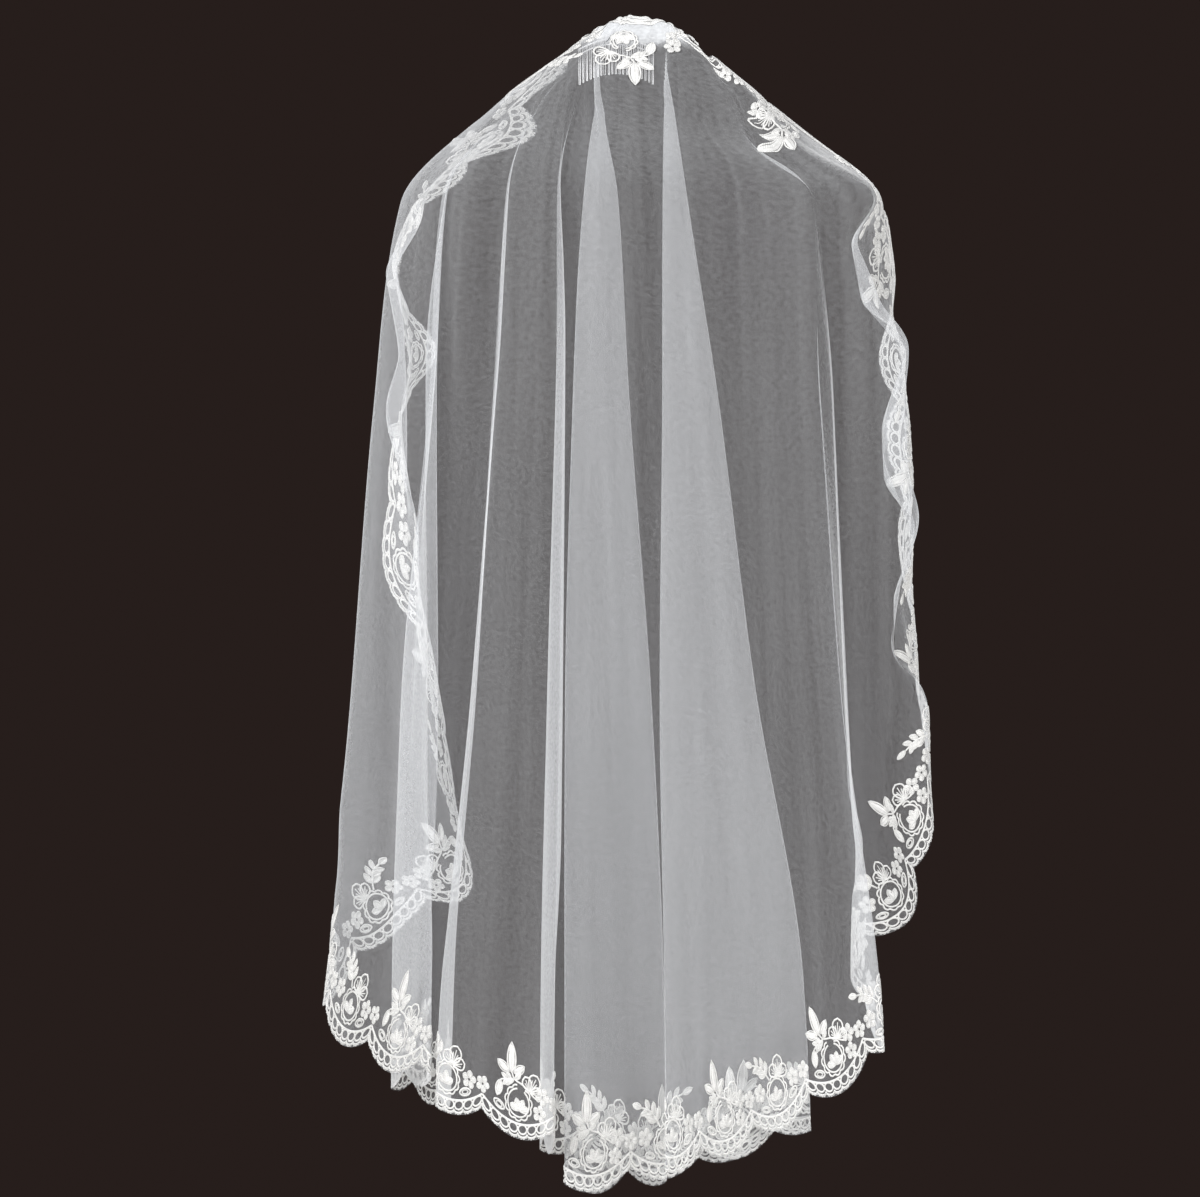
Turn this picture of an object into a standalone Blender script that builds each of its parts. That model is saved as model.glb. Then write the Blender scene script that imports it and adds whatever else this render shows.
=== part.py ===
"""Bridal veil: an oval of tulle with a corded lace edging all round, on a hair comb.

Metres, +Z up, the veil's back towards -Y. The origin is the middle of the comb.

The flat cloth is an oval whose top edge is straight over the comb. It hangs from the comb in
spokes, like an open fan. FOLD_LINES says where each fold runs, and drape() turns a point of
the flat cloth into a point in space, so every piece here is cut flat and then draped.
"""

import math

import bpy
import numpy as np
from mathutils import Vector
from mathutils.geometry import delaunay_2d_cdt

# the flat cloth
VEIL_WIDTH = 1.50
VEIL_LENGTH = 1.065
CROWN_WIDTH = 0.11  # the straight part of the top edge, over the comb
EDGING_DEPTH = 0.080
SCALLOPS = 48
SCALLOP_DEPTH = 0.016
FIRST_NOTCH = 0.855  # scallops from the crown's left end to the first notch
SEAM_GAP = 0.0009
LENGTH_GAP = 0.0015

TULLE_WALL = 0.0010
LACE_WALL = 0.0010  # between the motifs
LACE_RAISED = 0.0022  # on a motif

# the raised motifs: how far in from the edge, and their half width and half height
ROSE_IN = 0.036
ROSE_SIZE = (0.020, 0.017)
SPRIG_IN = 0.058
SPRIG_ASIDE = 0.012
SPRIG_SIZE = (0.014, 0.013)
SPRIG_SHARE = 0.7

# the crown edge, where the spokes start
CROWN_MIDDLE_X = 0.019
CROWN_TOP_Z = 0.0165
CROWN_ARCH = 0.022
CROWN_FORWARD = 0.008

# The crown's edge is turned over its ridge to the front, above the comb. Shares are of a
# quarter turn of the spokes, and of half the crown's width.
CROWN_OVER = 0.035
OVER_SHARE = 0.62
BACK_SHARE = 0.58
RIDGE_SHARE = 0.90
RIDGE_RADIUS = 0.007
RIDGE_HEADING = 65.0
EDGE_HEADING = -80.0
OVER_POINTS = 40

# the comb
COMB_WIDTH = 0.068
COMB_TEETH = 21
COMB_ARCH = 0.010
COMB_TOP_Z = 0.001
COMB_BAR = 0.005
TOOTH_LENGTH = 0.026
TOOTH_WIDTH = 0.0014
TOOTH_TAPER = 0.5
COMB_THICKNESS = 0.0014
COMB_GAP = 0.0011

# Heights at which the cloth's cross-section is known: neck, shoulder, blade, waist, hem, floor.
HEIGHTS = (-0.063, -0.142, -0.317, -0.579, -0.842, -1.060)
TURN_SHARE = (0.35, 0.32, 0.6, 0.85, 1.0, 1.0)  # how far a fold has opened at each height
SPREAD_HEIGHTS = slice(1, 5)  # the cloth is shared out by these sections
CLOTH_DOWN = (0.115, 0.28, 0.46, 0.72, 0.985, 1.08)  # how much cloth hangs above each height

# A row for each fold line, from the left front edge round the back to the right front edge.
# x is how far right it runs, in cm, at neck, shoulder, blade, waist and hem.
# y is how far forward it runs, in cm, at neck, shoulder and hem.
# turn is how wide the cloth bends there, in cm: plus turns back, minus turns forward.
# low is how much lower the hem hangs there, in cm.
FOLD_LINES = (
    # name, x, y, turn, low
    ("front edge", (-5.6, -15.0, -16.0, -21.0, -20.0), (9.0, 13.5, 19.0), 0, 0),
    ("front border", (-7.8, -17.0, -16.2, -20.8, -20.0), (8.0, 12.0, 17.0), 0, 0),
    ("front fold out", (-9.6, -19.4, -20.6, -22.0, -22.0), (6.4, 9.2, 14.0), 2.4, 0),
    ("front fold in", (-10.4, -17.4, -15.6, -13.6, -12.6), (3.4, 4.6, 8.0), 3.0, 2.0),
    ("left side", (-11.3, -18.9, -21.4, -23.7, -26.4), (0.2, -1.0, -1.0), 3.4, 4.0),
    ("side fold out", (-10.0, -14.6, -15.5, -15.1, -15.4), (-2.5, -5.9, -13.0), -2.2, -0.8),
    ("side fold in", (-9.2, -15.2, -16.6, -19.2, -19.8), (-1.9, -4.6, -0.5), -1.4, -1.0),
    ("left pleat in", (-7.2, -9.3, -10.5, -12.0, -14.0), (-2.8, -6.6, -1.5), 1.2, -3.0),
    ("left pleat out", (-6.6, -9.6, -11.0, -12.8, -15.0), (-3.4, -8.1, -14.6), 1.2, -4.3),
    ("mid pleat out", (-4.2, -5.0, -5.0, -5.0, -5.1), (-3.7, -8.8, -16.0), -1.2, -2.4),
    ("mid pleat in", (-3.6, -5.3, -5.5, -6.1, -6.7), (-3.0, -7.2, -1.5), -1.2, -1.2),
    ("fold 1 in", (-1.5, 0.5, 1.4, 3.7, 6.5), (-2.9, -7.0, -1.0), 1.6, 2.0),
    ("fold 1 out", (-1.3, -3.0, -3.9, -4.8, -5.0), (-3.6, -8.9, -12.5), 1.6, 2.2),
    ("fold 2 in", (4.5, 6.2, 9.0, 12.4, 16.7), (-2.8, -7.5, -7.5), 1.6, -4.4),
    ("fold 2 out", (4.8, 3.8, 3.6, 3.2, 3.5), (-3.6, -9.5, -17.5), 2.0, 0.4),
    ("right wave", (8.0, 11.8, 13.0, 14.6, 15.4), (-2.9, -6.8, -10.5), 0, -1.0),
    ("right pleat out", (10.4, 17.5, 18.4, 19.7, 22.5), (-1.9, -5.6, -15.5), -1.2, -0.4),
    ("right pleat in", (11.4, 17.2, 17.9, 19.1, 20.3), (-1.2, -3.6, -0.5), -1.2, -3.0),
    ("right side", (13.6, 22.8, 26.1, 27.2, 28.2), (-0.8, -2.0, -2.0), -3.0, 0),
    ("right turn", (14.6, 23.5, 25.4, 26.2, 26.5), (1.8, 6.0, 12.0), 0, 0),
    ("right edge", (14.4, 22.2, 22.4, 22.5, 23.0), (3.8, 13.0, 22.0), 0, 0),
)
SIDE_ANGLES = {"left side": -52.0, "right side": 62.0}  # spokes that hang at the two sides
BELOW_HEM = 0.3  # how much of a fold's slant goes on below the hem

# how fine the meshes are
STEPS = 3  # columns between two fold lines
DRAPE_STEPS = 12
DOWN_STEPS = 150
LONGEST_SPOKE = 1.2
NORMAL_STEP = 0.004
COMB_SEARCH_STEPS = 60
COMB_SEARCH_RATE = 0.7
CLOSEST_COLUMNS = 0.004
OUTLINE_POINTS = 1500
PATH_POINTS = 400
SPOKE_SEARCH_STEPS = 45
TULLE_ROWS = (
    0.10, 0.12, 0.145, 0.175, 0.21, 0.26, 0.32, 0.39, 0.47, 0.55, 0.64, 0.73, 0.82, 0.90
)
FINE_BELOW = 0.11
LEAST_SQUARE = 0.5  # a spoke more slanted than this leaves the edging square to the edge
FULL_SQUARE = 0.8
SEAM_MARGIN = 0.012
SEAM_RINGS = (EDGING_DEPTH + SEAM_GAP / 2, 0.10)  # rings of the tulle's points

# The edging's lengths: the notches they run between, counted from the first notch down the
# left side, their rows of faces, and their columns in each scallop.
EDGING_LENGTHS = (
    ("edging_left", 0, 11, 6, 5),
    ("edging_hem", 11, 36, 4, 4),
    ("edging_right", 36, 44, 6, 5),
    ("edging_crown", 44, 48, 12, 14),
)


# ---- the drape -------------------------------------------------------------------------


def fold_controls():
    """The sections' control points (heights, points, [x, y, low]) and their names."""
    z = np.array(HEIGHTS)
    below = BELOW_HEM * (z[5] - z[4]) / (z[4] - z[3])
    points = []
    names = []
    for name, across, forward, turn, low in FOLD_LINES:
        x = np.array(across) / 100
        y = np.interp(-z[:5], -z[[0, 1, 4]], np.array(forward) / 100)
        x = np.append(x, x[4] + (x[4] - x[3]) * below)
        y = np.append(y, y[4] + (y[4] - y[3]) * below)
        half_turn = turn / 200 * np.array(TURN_SHARE)
        down = np.full(6, low / 100)
        for side in (1, -1) if turn else (1,):
            points.append(np.stack([x, y + side * half_turn, down], axis=1))
            names.append(name)
    return np.stack(points, axis=1), names


def smooth_line(points, steps):
    """A cubic B-spline through rows of control points, with its two ends kept."""
    first = 2 * points[:, :1] - points[:, 1:2]
    last = 2 * points[:, -1:] - points[:, -2:-1]
    p = np.concatenate([first, points, last], axis=1)
    s = np.arange(steps) / steps
    weights = (
        np.stack(
            [(1 - s) ** 3, 3 * s**3 - 6 * s**2 + 4, -3 * s**3 + 3 * s**2 + 3 * s + 1, s**3]
        )
        / 6
    )
    spans = [
        np.einsum("ks,hkd->hsd", weights, p[:, i : i + 4]) for i in range(points.shape[1] - 1)
    ]
    return np.concatenate(spans + [points[:, -1:]], axis=1)


def even_slopes(t, v):
    """Slopes of a curve through (t, v) that never overshoots a row of values."""
    step = np.diff(t, axis=1)
    rise = np.diff(v, axis=1) / step
    slope = np.zeros(v.shape)
    slope[:, 0] = rise[:, 0]
    slope[:, -1] = rise[:, -1]
    before, after = rise[:, :-1], rise[:, 1:]
    same = before * after > 0
    w1 = 2 * step[:, 1:] + step[:, :-1]
    w2 = step[:, 1:] + 2 * step[:, :-1]
    mean = w1 / np.where(same, before, 1) + w2 / np.where(same, after, 1)
    slope[:, 1:-1] = np.where(same, (w1 + w2) / mean, 0)
    return slope


def smooth_values(t, v, at):
    """Values at `at` of that curve, a row for each column of cloth."""
    slope = even_slopes(t, v)
    result = np.zeros(at.shape)
    for i in range(t.shape[1] - 1):
        a, b = t[:, i : i + 1], t[:, i + 1 : i + 2]
        h = b - a
        s = (at - a) / h
        value = (
            (1 + 2 * s) * (1 - s) ** 2 * v[:, i : i + 1]
            + s * (1 - s) ** 2 * h * slope[:, i : i + 1]
            + s**2 * (3 - 2 * s) * v[:, i + 1 : i + 2]
            + s**2 * (s - 1) * h * slope[:, i + 1 : i + 2]
        )
        result = np.where(at >= a, value, result)
    return result


class Drape:
    """The hanging cloth: where each point of the flat cloth lies."""

    def __init__(self):
        controls, names = fold_controls()
        sections = smooth_line(controls, DRAPE_STEPS)
        self.angles = self.spoke_angles(sections, names)
        self.paths = self.hang(sections)

    @staticmethod
    def spoke_angles(sections, names):
        """The angle of each column in the flat cloth, by the length of its sections."""
        length = np.linalg.norm(np.diff(sections[:, :, :2], axis=1), axis=2)
        share = length / (math.pi * np.array(CLOTH_DOWN) + CROWN_WIDTH)[:, None]
        run = np.concatenate([[0], np.cumsum(share[SPREAD_HEIGHTS].mean(axis=0))])
        sides = [round((names.index(side) + 0.5) * DRAPE_STEPS) for side in SIDE_ANGLES]
        marks = run[[0, *sides, -1]]
        return np.interp(run, marks, [-90, *SIDE_ANGLES.values(), 90])

    def hang(self, sections):
        """Points at even steps of cloth down each column."""
        q = self.angles / 90
        count = len(q)
        ridge = np.sign(q) * np.interp(np.abs(q), (0, BACK_SHARE, 1), (0, RIDGE_SHARE, 1))
        start_x = CROWN_MIDDLE_X + CROWN_WIDTH / 2 * ridge
        start_z = CROWN_TOP_Z - CROWN_ARCH * ridge**2
        down = np.column_stack([-start_z, np.tile(-np.array(HEIGHTS), (count, 1))])
        across = np.column_stack([start_x, sections[:, :, 0].T])
        forward = np.column_stack([np.full(count, CROWN_FORWARD), sections[:, :, 1].T])
        at = down[:, :1] + (down[:, -1:] - down[:, :1]) * np.linspace(0, 1, PATH_POINTS)
        x = smooth_values(down, across, at)
        y = smooth_values(down, forward, at)
        path = np.stack([x, y, -at], axis=2)
        path = np.concatenate([self.turned_edge(q, path[:, :1]), path], axis=1)
        step = np.linalg.norm(np.diff(path, axis=1), axis=2)
        along = np.column_stack([np.zeros(count), np.cumsum(step, axis=1)])
        reach = np.linspace(0, LONGEST_SPOKE, DOWN_STEPS + 1)
        result = np.empty((count, DOWN_STEPS + 1, 3))
        for i in range(count):
            for axis in range(3):
                result[i, :, axis] = np.interp(reach, along[i], path[i, :, axis])
        low = sections[4, :, 2]
        result[:, :, 2] -= low[:, None] * np.minimum(reach / VEIL_LENGTH, 1.1) ** 2
        return result

    @staticmethod
    def turned_edge(q, ridge):
        """Points from the crown's edge up to the ridge, where it is turned over."""
        over = np.maximum(1 - (q / OVER_SHARE) ** 4, 0)[:, None]
        share = np.linspace(1, 0, OVER_POINTS, endpoint=False)[None]
        run = CROWN_OVER * over * share
        start = math.radians(RIDGE_HEADING)
        end = math.radians(EDGE_HEADING)
        turn = np.maximum(start - run / RIDGE_RADIUS, end)
        straight = np.maximum(run - (start - end) * RIDGE_RADIUS, 0)
        edge_x = CROWN_MIDDLE_X + CROWN_WIDTH / 2 * q[:, None]
        x = ridge[:, :, 0] + (edge_x - ridge[:, :, 0]) * over * share
        y = RIDGE_RADIUS * (math.sin(start) - np.sin(turn)) + straight * math.cos(end)
        z = RIDGE_RADIUS * (np.cos(turn) - math.cos(start)) + straight * math.sin(end)
        return np.stack([x, ridge[:, :, 1] + y, ridge[:, :, 2] + z], axis=2)

    def place(self, flat):
        """Points of the flat cloth, (n, 2), as points in space, (n, 3)."""
        angle, reach = spoke_of(flat)
        column = np.interp(angle, self.angles, np.arange(len(self.angles)))
        row = np.clip(reach / LONGEST_SPOKE * DOWN_STEPS, 0, DOWN_STEPS - 1e-6)
        c = np.minimum(column.astype(int), len(self.angles) - 2)
        r = row.astype(int)
        u = (column - c)[:, None]
        v = (row - r)[:, None]
        p = self.paths
        upper = p[c, r] * (1 - u) + p[c + 1, r] * u
        lower = p[c, r + 1] * (1 - u) + p[c + 1, r + 1] * u
        return upper * (1 - v) + lower * v

    def normal(self, flat):
        """Which way the cloth faces, away from the wearer at the back."""
        x_step = np.array([NORMAL_STEP, 0])
        y_step = np.array([0, NORMAL_STEP])
        across = self.place(flat + x_step) - self.place(flat - x_step)
        up = self.place(flat + y_step) - self.place(flat - y_step)
        normal = np.cross(across, up)
        return normal / np.linalg.norm(normal, axis=1)[:, None]


def spoke_of(flat):
    """The spoke's angle in degrees, and the reach along it, of points of the flat cloth."""
    x, y = flat[:, 0], np.minimum(flat[:, 1], 0)
    low, high = np.full(len(x), -1.0), np.full(len(x), 1.0)
    for _ in range(SPOKE_SEARCH_STEPS):
        q = (low + high) / 2
        turn = q * math.pi / 2
        right_of = (x - CROWN_WIDTH / 2 * q) * np.cos(turn) + y * np.sin(turn) > 0
        low = np.where(right_of, q, low)
        high = np.where(right_of, high, q)
    turn = q * math.pi / 2
    reach = (x - CROWN_WIDTH / 2 * q) * np.sin(turn) - y * np.cos(turn)
    return q * 90, np.maximum(reach, 0)


def spoke_point(angle, reach):
    """The flat point at `reach` along the spoke at `angle` degrees."""
    turn = np.radians(angle)
    x = CROWN_WIDTH / 2 * angle / 90 + reach * np.sin(turn)
    return np.stack([x, -reach * np.cos(turn)], axis=-1)


# ---- the flat cloth --------------------------------------------------------------------


class Outline:
    """The veil's edge, an oval, as arc length from the crown's left end."""

    def __init__(self):
        half_height = VEIL_LENGTH / 2
        half_width = (VEIL_WIDTH - CROWN_WIDTH) / 2
        turn = np.linspace(0, math.pi, OUTLINE_POINTS)
        left = np.stack(
            [
                -CROWN_WIDTH / 2 - half_width * np.sin(turn),
                half_height * (np.cos(turn) - 1),
            ],
            axis=1,
        )
        right = left[::-1] * (-1, 1)
        ring = np.concatenate([left, right, left[:1]])
        along = np.concatenate(
            [[0], np.cumsum(np.linalg.norm(np.diff(ring, axis=0), axis=1))]
        )
        ahead = np.roll(ring[:-1], -1, axis=0) - np.roll(ring[:-1], 1, axis=0)
        inward = np.stack([-ahead[:, 1], ahead[:, 0]], axis=1)
        inward /= np.linalg.norm(inward, axis=1)[:, None]
        self.ring = ring
        self.inward = np.concatenate([inward, inward[:1]])
        self.along = along
        self.length = along[-1]

    def point(self, u, v=0.0):
        """The flat point at arc length u, v inside the edge."""
        u = np.mod(u, self.length)
        edge = np.stack([np.interp(u, self.along, self.ring[:, k]) for k in (0, 1)], axis=1)
        inward = np.stack(
            [np.interp(u, self.along, self.inward[:, k]) for k in (0, 1)], axis=1
        )
        return edge + inward * np.reshape(v, (-1, 1))

    def inset(self, flat):
        """How far a flat point lies inside the edge; less than 0 is outside."""
        return ((flat - self.ring) * self.inward).sum(axis=1).min()


def scallop_edge(u, pitch):
    """How far the scalloped edge lies inside the oval at arc length u."""
    across = 2 * np.mod(u / pitch - FIRST_NOTCH, 1) - 1
    return SCALLOP_DEPTH * across**2


def motif_height(u, v, pitch):
    """How much of the lace's raised height a point has: a rose and a sprig in each scallop."""
    across = (np.mod(u / pitch - FIRST_NOTCH, 1) - 0.5) * pitch
    rose = soft_oval(across, v - ROSE_IN, ROSE_SIZE)
    sprig = soft_oval(across - SPRIG_ASIDE, v - SPRIG_IN, SPRIG_SIZE)
    return np.clip(rose + SPRIG_SHARE * sprig, 0, 1)


def soft_oval(x, y, size):
    """1 inside an oval, falling to 0 outside it."""
    return np.exp(-((x / size[0]) ** 2 + (y / size[1]) ** 2) ** 2)


# ---- making the pieces -----------------------------------------------------------------


def clear_scene():
    for thing in list(bpy.data.objects):
        bpy.data.objects.remove(thing, do_unlink=True)


def new_collection(name):
    collection = bpy.data.collections.new(name)
    bpy.context.scene.collection.children.link(collection)
    return collection


def new_material(name, colour, roughness, metallic=0.0):
    material = bpy.data.materials.new(name)
    material.use_nodes = True
    shader = material.node_tree.nodes["Principled BSDF"]
    shader.inputs["Base Color"].default_value = (*colour, 1.0)
    shader.inputs["Roughness"].default_value = roughness
    shader.inputs["Metallic"].default_value = metallic
    return material


def new_object(name, points, faces, material, collection):
    mesh = bpy.data.meshes.new(name)
    mesh.from_pydata([tuple(map(float, p)) for p in points], [], faces)
    mesh.materials.append(material)
    mesh.shade_smooth()
    thing = bpy.data.objects.new(name, mesh)
    collection.objects.link(thing)
    return thing


def open_edges(faces):
    """The edges that only one face has, in that face's direction."""
    edges = {}
    for face in faces:
        for a, b in zip(face, face[1:] + face[:1]):
            if (b, a) in edges:
                del edges[b, a]
            else:
                edges[a, b] = True
    return list(edges)


def make_wall(name, drape, flat, faces, thickness, material, collection):
    """A closed wall of cloth: its inner skin lies on the drape, its outer skin stands off it."""
    inner = drape.place(flat)
    outer = inner + drape.normal(flat) * np.reshape(thickness, (-1, 1))
    count = len(flat)
    skins = [tuple(face) for face in faces]
    skins += [tuple(k + count for k in reversed(face)) for face in skins]
    for a, b in open_edges(faces):
        skins.append((b, a, a + count, b + count))
    return new_object(name, np.concatenate([outer, inner]), skins, material, collection)


def edging_columns(drape, outline):
    """Arc lengths of the edging's columns: at each fold line and across each scallop."""
    pitch = outline.length / SCALLOPS
    across = np.concatenate(
        [
            first + np.arange((last - first) * fine) / fine
            for _, first, last, _, fine in EDGING_LENGTHS
        ]
    )
    across = np.sort(np.mod(across + FIRST_NOTCH, SCALLOPS)) * pitch
    edge = slice(1, -1)  # without the crown's straight line
    ring_angle, _ = spoke_of(outline.ring[edge])
    fold_angles = drape.angles[:: DRAPE_STEPS // STEPS][1:-1]
    ends = np.interp(fold_angles, ring_angle, outline.along[edge])
    keep = np.abs(across[:, None] - ends[None]).min(axis=1) > CLOSEST_COLUMNS
    return np.sort(np.concatenate([across[keep], ends]))


def across_edging(outline, u):
    """Which way the edging runs in from arc length u: along the spoke, or square to the edge."""
    edge = outline.point(u)
    inward = outline.point(u, 1.0) - edge
    angle, _ = spoke_of(edge)
    turn = np.radians(angle)
    spoke = np.stack([-np.sin(turn), np.cos(turn)], axis=1)
    square = (spoke * inward).sum(axis=1)
    share = np.clip((square - LEAST_SQUARE) / (FULL_SQUARE - LEAST_SQUARE), 0, 1)[:, None]
    along_spoke = spoke / np.maximum(square, LEAST_SQUARE)[:, None]
    return inward * (1 - share) + along_spoke * share


def make_edging(name, drape, outline, u, rows, material, collection):
    """One length of lace edging, draped, with its roses raised."""
    pitch = outline.length / SCALLOPS
    edge = outline.point(u)
    run_in = across_edging(outline, u)
    start = scallop_edge(u, pitch)
    flat = []
    thickness = []
    for row in range(rows + 1):
        v = start + (EDGING_DEPTH - SEAM_GAP / 2 - start) * row / rows
        flat.append(edge + run_in * v[:, None])
        thickness.append(LACE_WALL + (LACE_RAISED - LACE_WALL) * motif_height(u, v, pitch))
    count = len(u)
    faces = []
    for row in range(rows):
        for k in range(count - 1):
            a = row * count + k
            faces.append((a, a + 1, a + 1 + count, a + count))
    flat = np.concatenate(flat)
    thickness = np.concatenate(thickness)
    return make_wall(name, drape, flat, faces, thickness, material, collection)


def make_edgings(drape, outline, columns, material, collection):
    """The edging in four lengths, which meet at scallop notches."""
    pitch = outline.length / SCALLOPS
    for name, first, last, rows, _ in EDGING_LENGTHS:
        start = (first + FIRST_NOTCH) * pitch + LENGTH_GAP / 2
        end = (last + FIRST_NOTCH) * pitch - LENGTH_GAP / 2
        whole = np.concatenate([columns, columns + outline.length])
        inside = (whole > start + CLOSEST_COLUMNS) & (whole < end - CLOSEST_COLUMNS)
        u = np.concatenate([[start], whole[inside], [end]])
        make_edging(name, drape, outline, u, rows, material, collection)


def tulle_points(drape, outline, columns):
    """The tulle's points: its seam, rings along the seam, and rows down each fold line."""
    run_in = across_edging(outline, columns)
    rings = []
    for inset in SEAM_RINGS:
        rings.append(outline.point(columns) + run_in * inset)
    points = list(np.concatenate(rings))
    count = len(columns)
    lines = []
    for ring in range(len(SEAM_RINGS)):
        lines += [(ring * count + k, ring * count + (k + 1) % count) for k in range(count)]
    for number, angle in enumerate(drape.angles[:: DRAPE_STEPS // STEPS]):
        before = None
        for reach in TULLE_ROWS:
            if reach < FINE_BELOW and number % STEPS:
                continue
            flat = spoke_point(np.array(angle), reach)
            if outline.inset(flat) < SEAM_RINGS[-1] + SEAM_MARGIN:
                before = None
                continue
            points.append(flat)
            index = len(points) - 1
            if before is not None:
                lines.append((before, index))
            before = index
    return points, lines


def make_tulle(drape, outline, columns, material, collection):
    """The oval of tulle inside the edging."""
    flat, lines = tulle_points(drape, outline, columns)
    corners, _, faces, _, _, _ = delaunay_2d_cdt(
        [Vector(p) for p in flat], lines, [], 1, 1e-6, False
    )
    flat = np.array([tuple(c) for c in corners])
    return make_wall("tulle", drape, flat, faces, TULLE_WALL, material, collection)


def cloth_at(drape, x, z):
    """The flat points of the cloth that hang at x and z near the comb."""
    flat = np.stack([x - CROWN_MIDDLE_X, z - CROWN_TOP_Z - CROWN_OVER], axis=1)
    for _ in range(COMB_SEARCH_STEPS):
        place = drape.place(flat)
        flat = flat + np.stack([x - place[:, 0], z - place[:, 2]], axis=1) * COMB_SEARCH_RATE
        flat[:, 1] = np.minimum(flat[:, 1], -CROWN_OVER)
    return flat


def make_comb(drape, material, collection):
    """A hair comb under the crown edge: a curved bar and its teeth, in one piece."""
    pitch = COMB_WIDTH / COMB_TEETH
    middles = (np.arange(COMB_TEETH) + 0.5) * pitch - COMB_WIDTH / 2
    x = np.sort(np.concatenate([middles - TOOTH_WIDTH / 2, middles + TOOTH_WIDTH / 2]))
    top = COMB_TOP_Z - COMB_ARCH * (x / (COMB_WIDTH / 2)) ** 2
    away = COMB_GAP + COMB_THICKNESS / 2
    rows = []
    for z in (top, top - COMB_BAR):
        flat = cloth_at(drape, x, z)
        rows.append(drape.place(flat) - drape.normal(flat) * away)
    bar = rows[1]
    narrow = np.where(np.arange(len(x)) % 2, -1, 1) * TOOTH_WIDTH * TOOTH_TAPER / 2
    for share in (0.5, 1.0):
        tip = bar.copy()
        tip[:, 0] += narrow * share
        tip[:, 2] -= TOOTH_LENGTH * share
        rows.append(tip)
    count = len(x)
    faces = [(k, k + 1, k + 1 + count, k + count) for k in range(count - 1)]
    for row in (1, 2):
        for k in range(0, count, 2):
            a = row * count + k
            faces.append((a, a + 1, a + 1 + count, a + count))
    comb = new_object("comb", np.concatenate(rows), faces, material, collection)
    wall = comb.modifiers.new("wall", "SOLIDIFY")
    wall.thickness = COMB_THICKNESS
    wall.offset = 0.0
    return comb


def main():
    clear_scene()
    veil = new_collection("bridal veil")
    tulle = new_material("tulle", (0.93, 0.92, 0.90), 0.8)
    lace = new_material("lace", (0.95, 0.94, 0.92), 0.7)
    metal = new_material("comb metal", (0.80, 0.80, 0.80), 0.25, 1.0)
    drape = Drape()
    outline = Outline()
    columns = edging_columns(drape, outline)
    make_tulle(drape, outline, columns, tulle, veil)
    make_edgings(drape, outline, columns, lace, veil)
    make_comb(drape, metal, veil)


main()
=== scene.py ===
"""Looks of the bridal veil: sheer tulle, corded lace edging and a wire comb.

The cloth hangs by the same rule as its solids: a flat oval that fans out in spokes from the
crown edge and follows the fold lines below. Here it is finer, has its small creases too, and
every thread of the lace is laid on it, from its place on the flat cloth.
"""

import math

import bpy
import numpy as np
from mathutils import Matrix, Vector


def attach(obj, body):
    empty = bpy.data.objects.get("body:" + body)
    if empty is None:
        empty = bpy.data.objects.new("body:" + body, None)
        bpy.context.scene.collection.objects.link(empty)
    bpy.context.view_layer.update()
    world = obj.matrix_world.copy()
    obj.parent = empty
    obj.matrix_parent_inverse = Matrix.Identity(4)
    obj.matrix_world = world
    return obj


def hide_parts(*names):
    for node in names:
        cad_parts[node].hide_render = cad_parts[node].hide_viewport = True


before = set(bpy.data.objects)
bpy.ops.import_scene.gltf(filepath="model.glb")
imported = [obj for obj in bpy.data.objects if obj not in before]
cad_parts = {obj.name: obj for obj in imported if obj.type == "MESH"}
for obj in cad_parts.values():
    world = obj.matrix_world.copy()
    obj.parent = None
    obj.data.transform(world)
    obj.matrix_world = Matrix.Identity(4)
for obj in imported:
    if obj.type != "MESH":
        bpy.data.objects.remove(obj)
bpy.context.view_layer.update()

# ---- sizes, in metres ----

# the flat cloth
VEIL_WIDTH = 1.50
VEIL_LENGTH = 1.065
CROWN_WIDTH = 0.11
OVAL_HALF_WIDTH = (VEIL_WIDTH - CROWN_WIDTH) / 2
OVAL_HALF_LENGTH = VEIL_LENGTH / 2
EDGING_DEPTH = 0.080
SCALLOPS = 48
SCALLOP_DEPTH = 0.016
FIRST_NOTCH = 0.855

# the crown: a ridge over the comb, where the cloth's edge is turned over to the front
CROWN_MIDDLE_X = 0.019
CROWN_TOP_Z = 0.0165
CROWN_ARCH = 0.022
CROWN_FORWARD = 0.008
CROWN_OVER = 0.035
OVER_SHARE = 0.62
BACK_SHARE = 0.58
RIDGE_SHARE = 0.90
RIDGE_RADIUS = 0.007
RIDGE_HEADING = 65.0
EDGE_HEADING = -80.0
OVER_POINTS = 40

# where the cloth leans to the left on the ridge: middle and half width in quarter turns of
# the spokes, and how far
LEAN_MIDDLE = 0.035
LEAN_HALF = 0.13
LEAN = 0.0105

# how the tops of the big folds are pulled to the left: middle and half width in quarter
# turns, sideways run for each metre up, and the heights where the pull starts, where it
# begins to fade and where it is gone
PULL_MIDDLE = 0.035
PULL_HALF = 0.14
PULL = 0.27
PULL_HEIGHTS = (-0.066, -0.010, 0.012)

# the comb, its round wires and the stitches over its bar
COMB_WIDTH = 0.068
COMB_TEETH = 21
COMB_ARCH = 0.010
COMB_TOP_Z = 0.001
COMB_BAR = 0.005
TOOTH_LENGTH = 0.026
TOOTH_WIDTH = 0.0014
TOOTH_LOOP_SHARE = 0.75
TOOTH_LOOP_POINTS = 11
COMB_THICKNESS = 0.0014
COMB_GAP = 0.0009
BAR_RADII = (0.00075, 0.00060)
TOOTH_RADIUS = 0.00032
STITCH_RADIUS = 0.00022
STITCH_HALVES = (0.0004, 0.0011, 0.0023)
STITCH_DOWN = 0.0012
STITCH_POINTS = 12
STITCH_EVERY = 4

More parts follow.
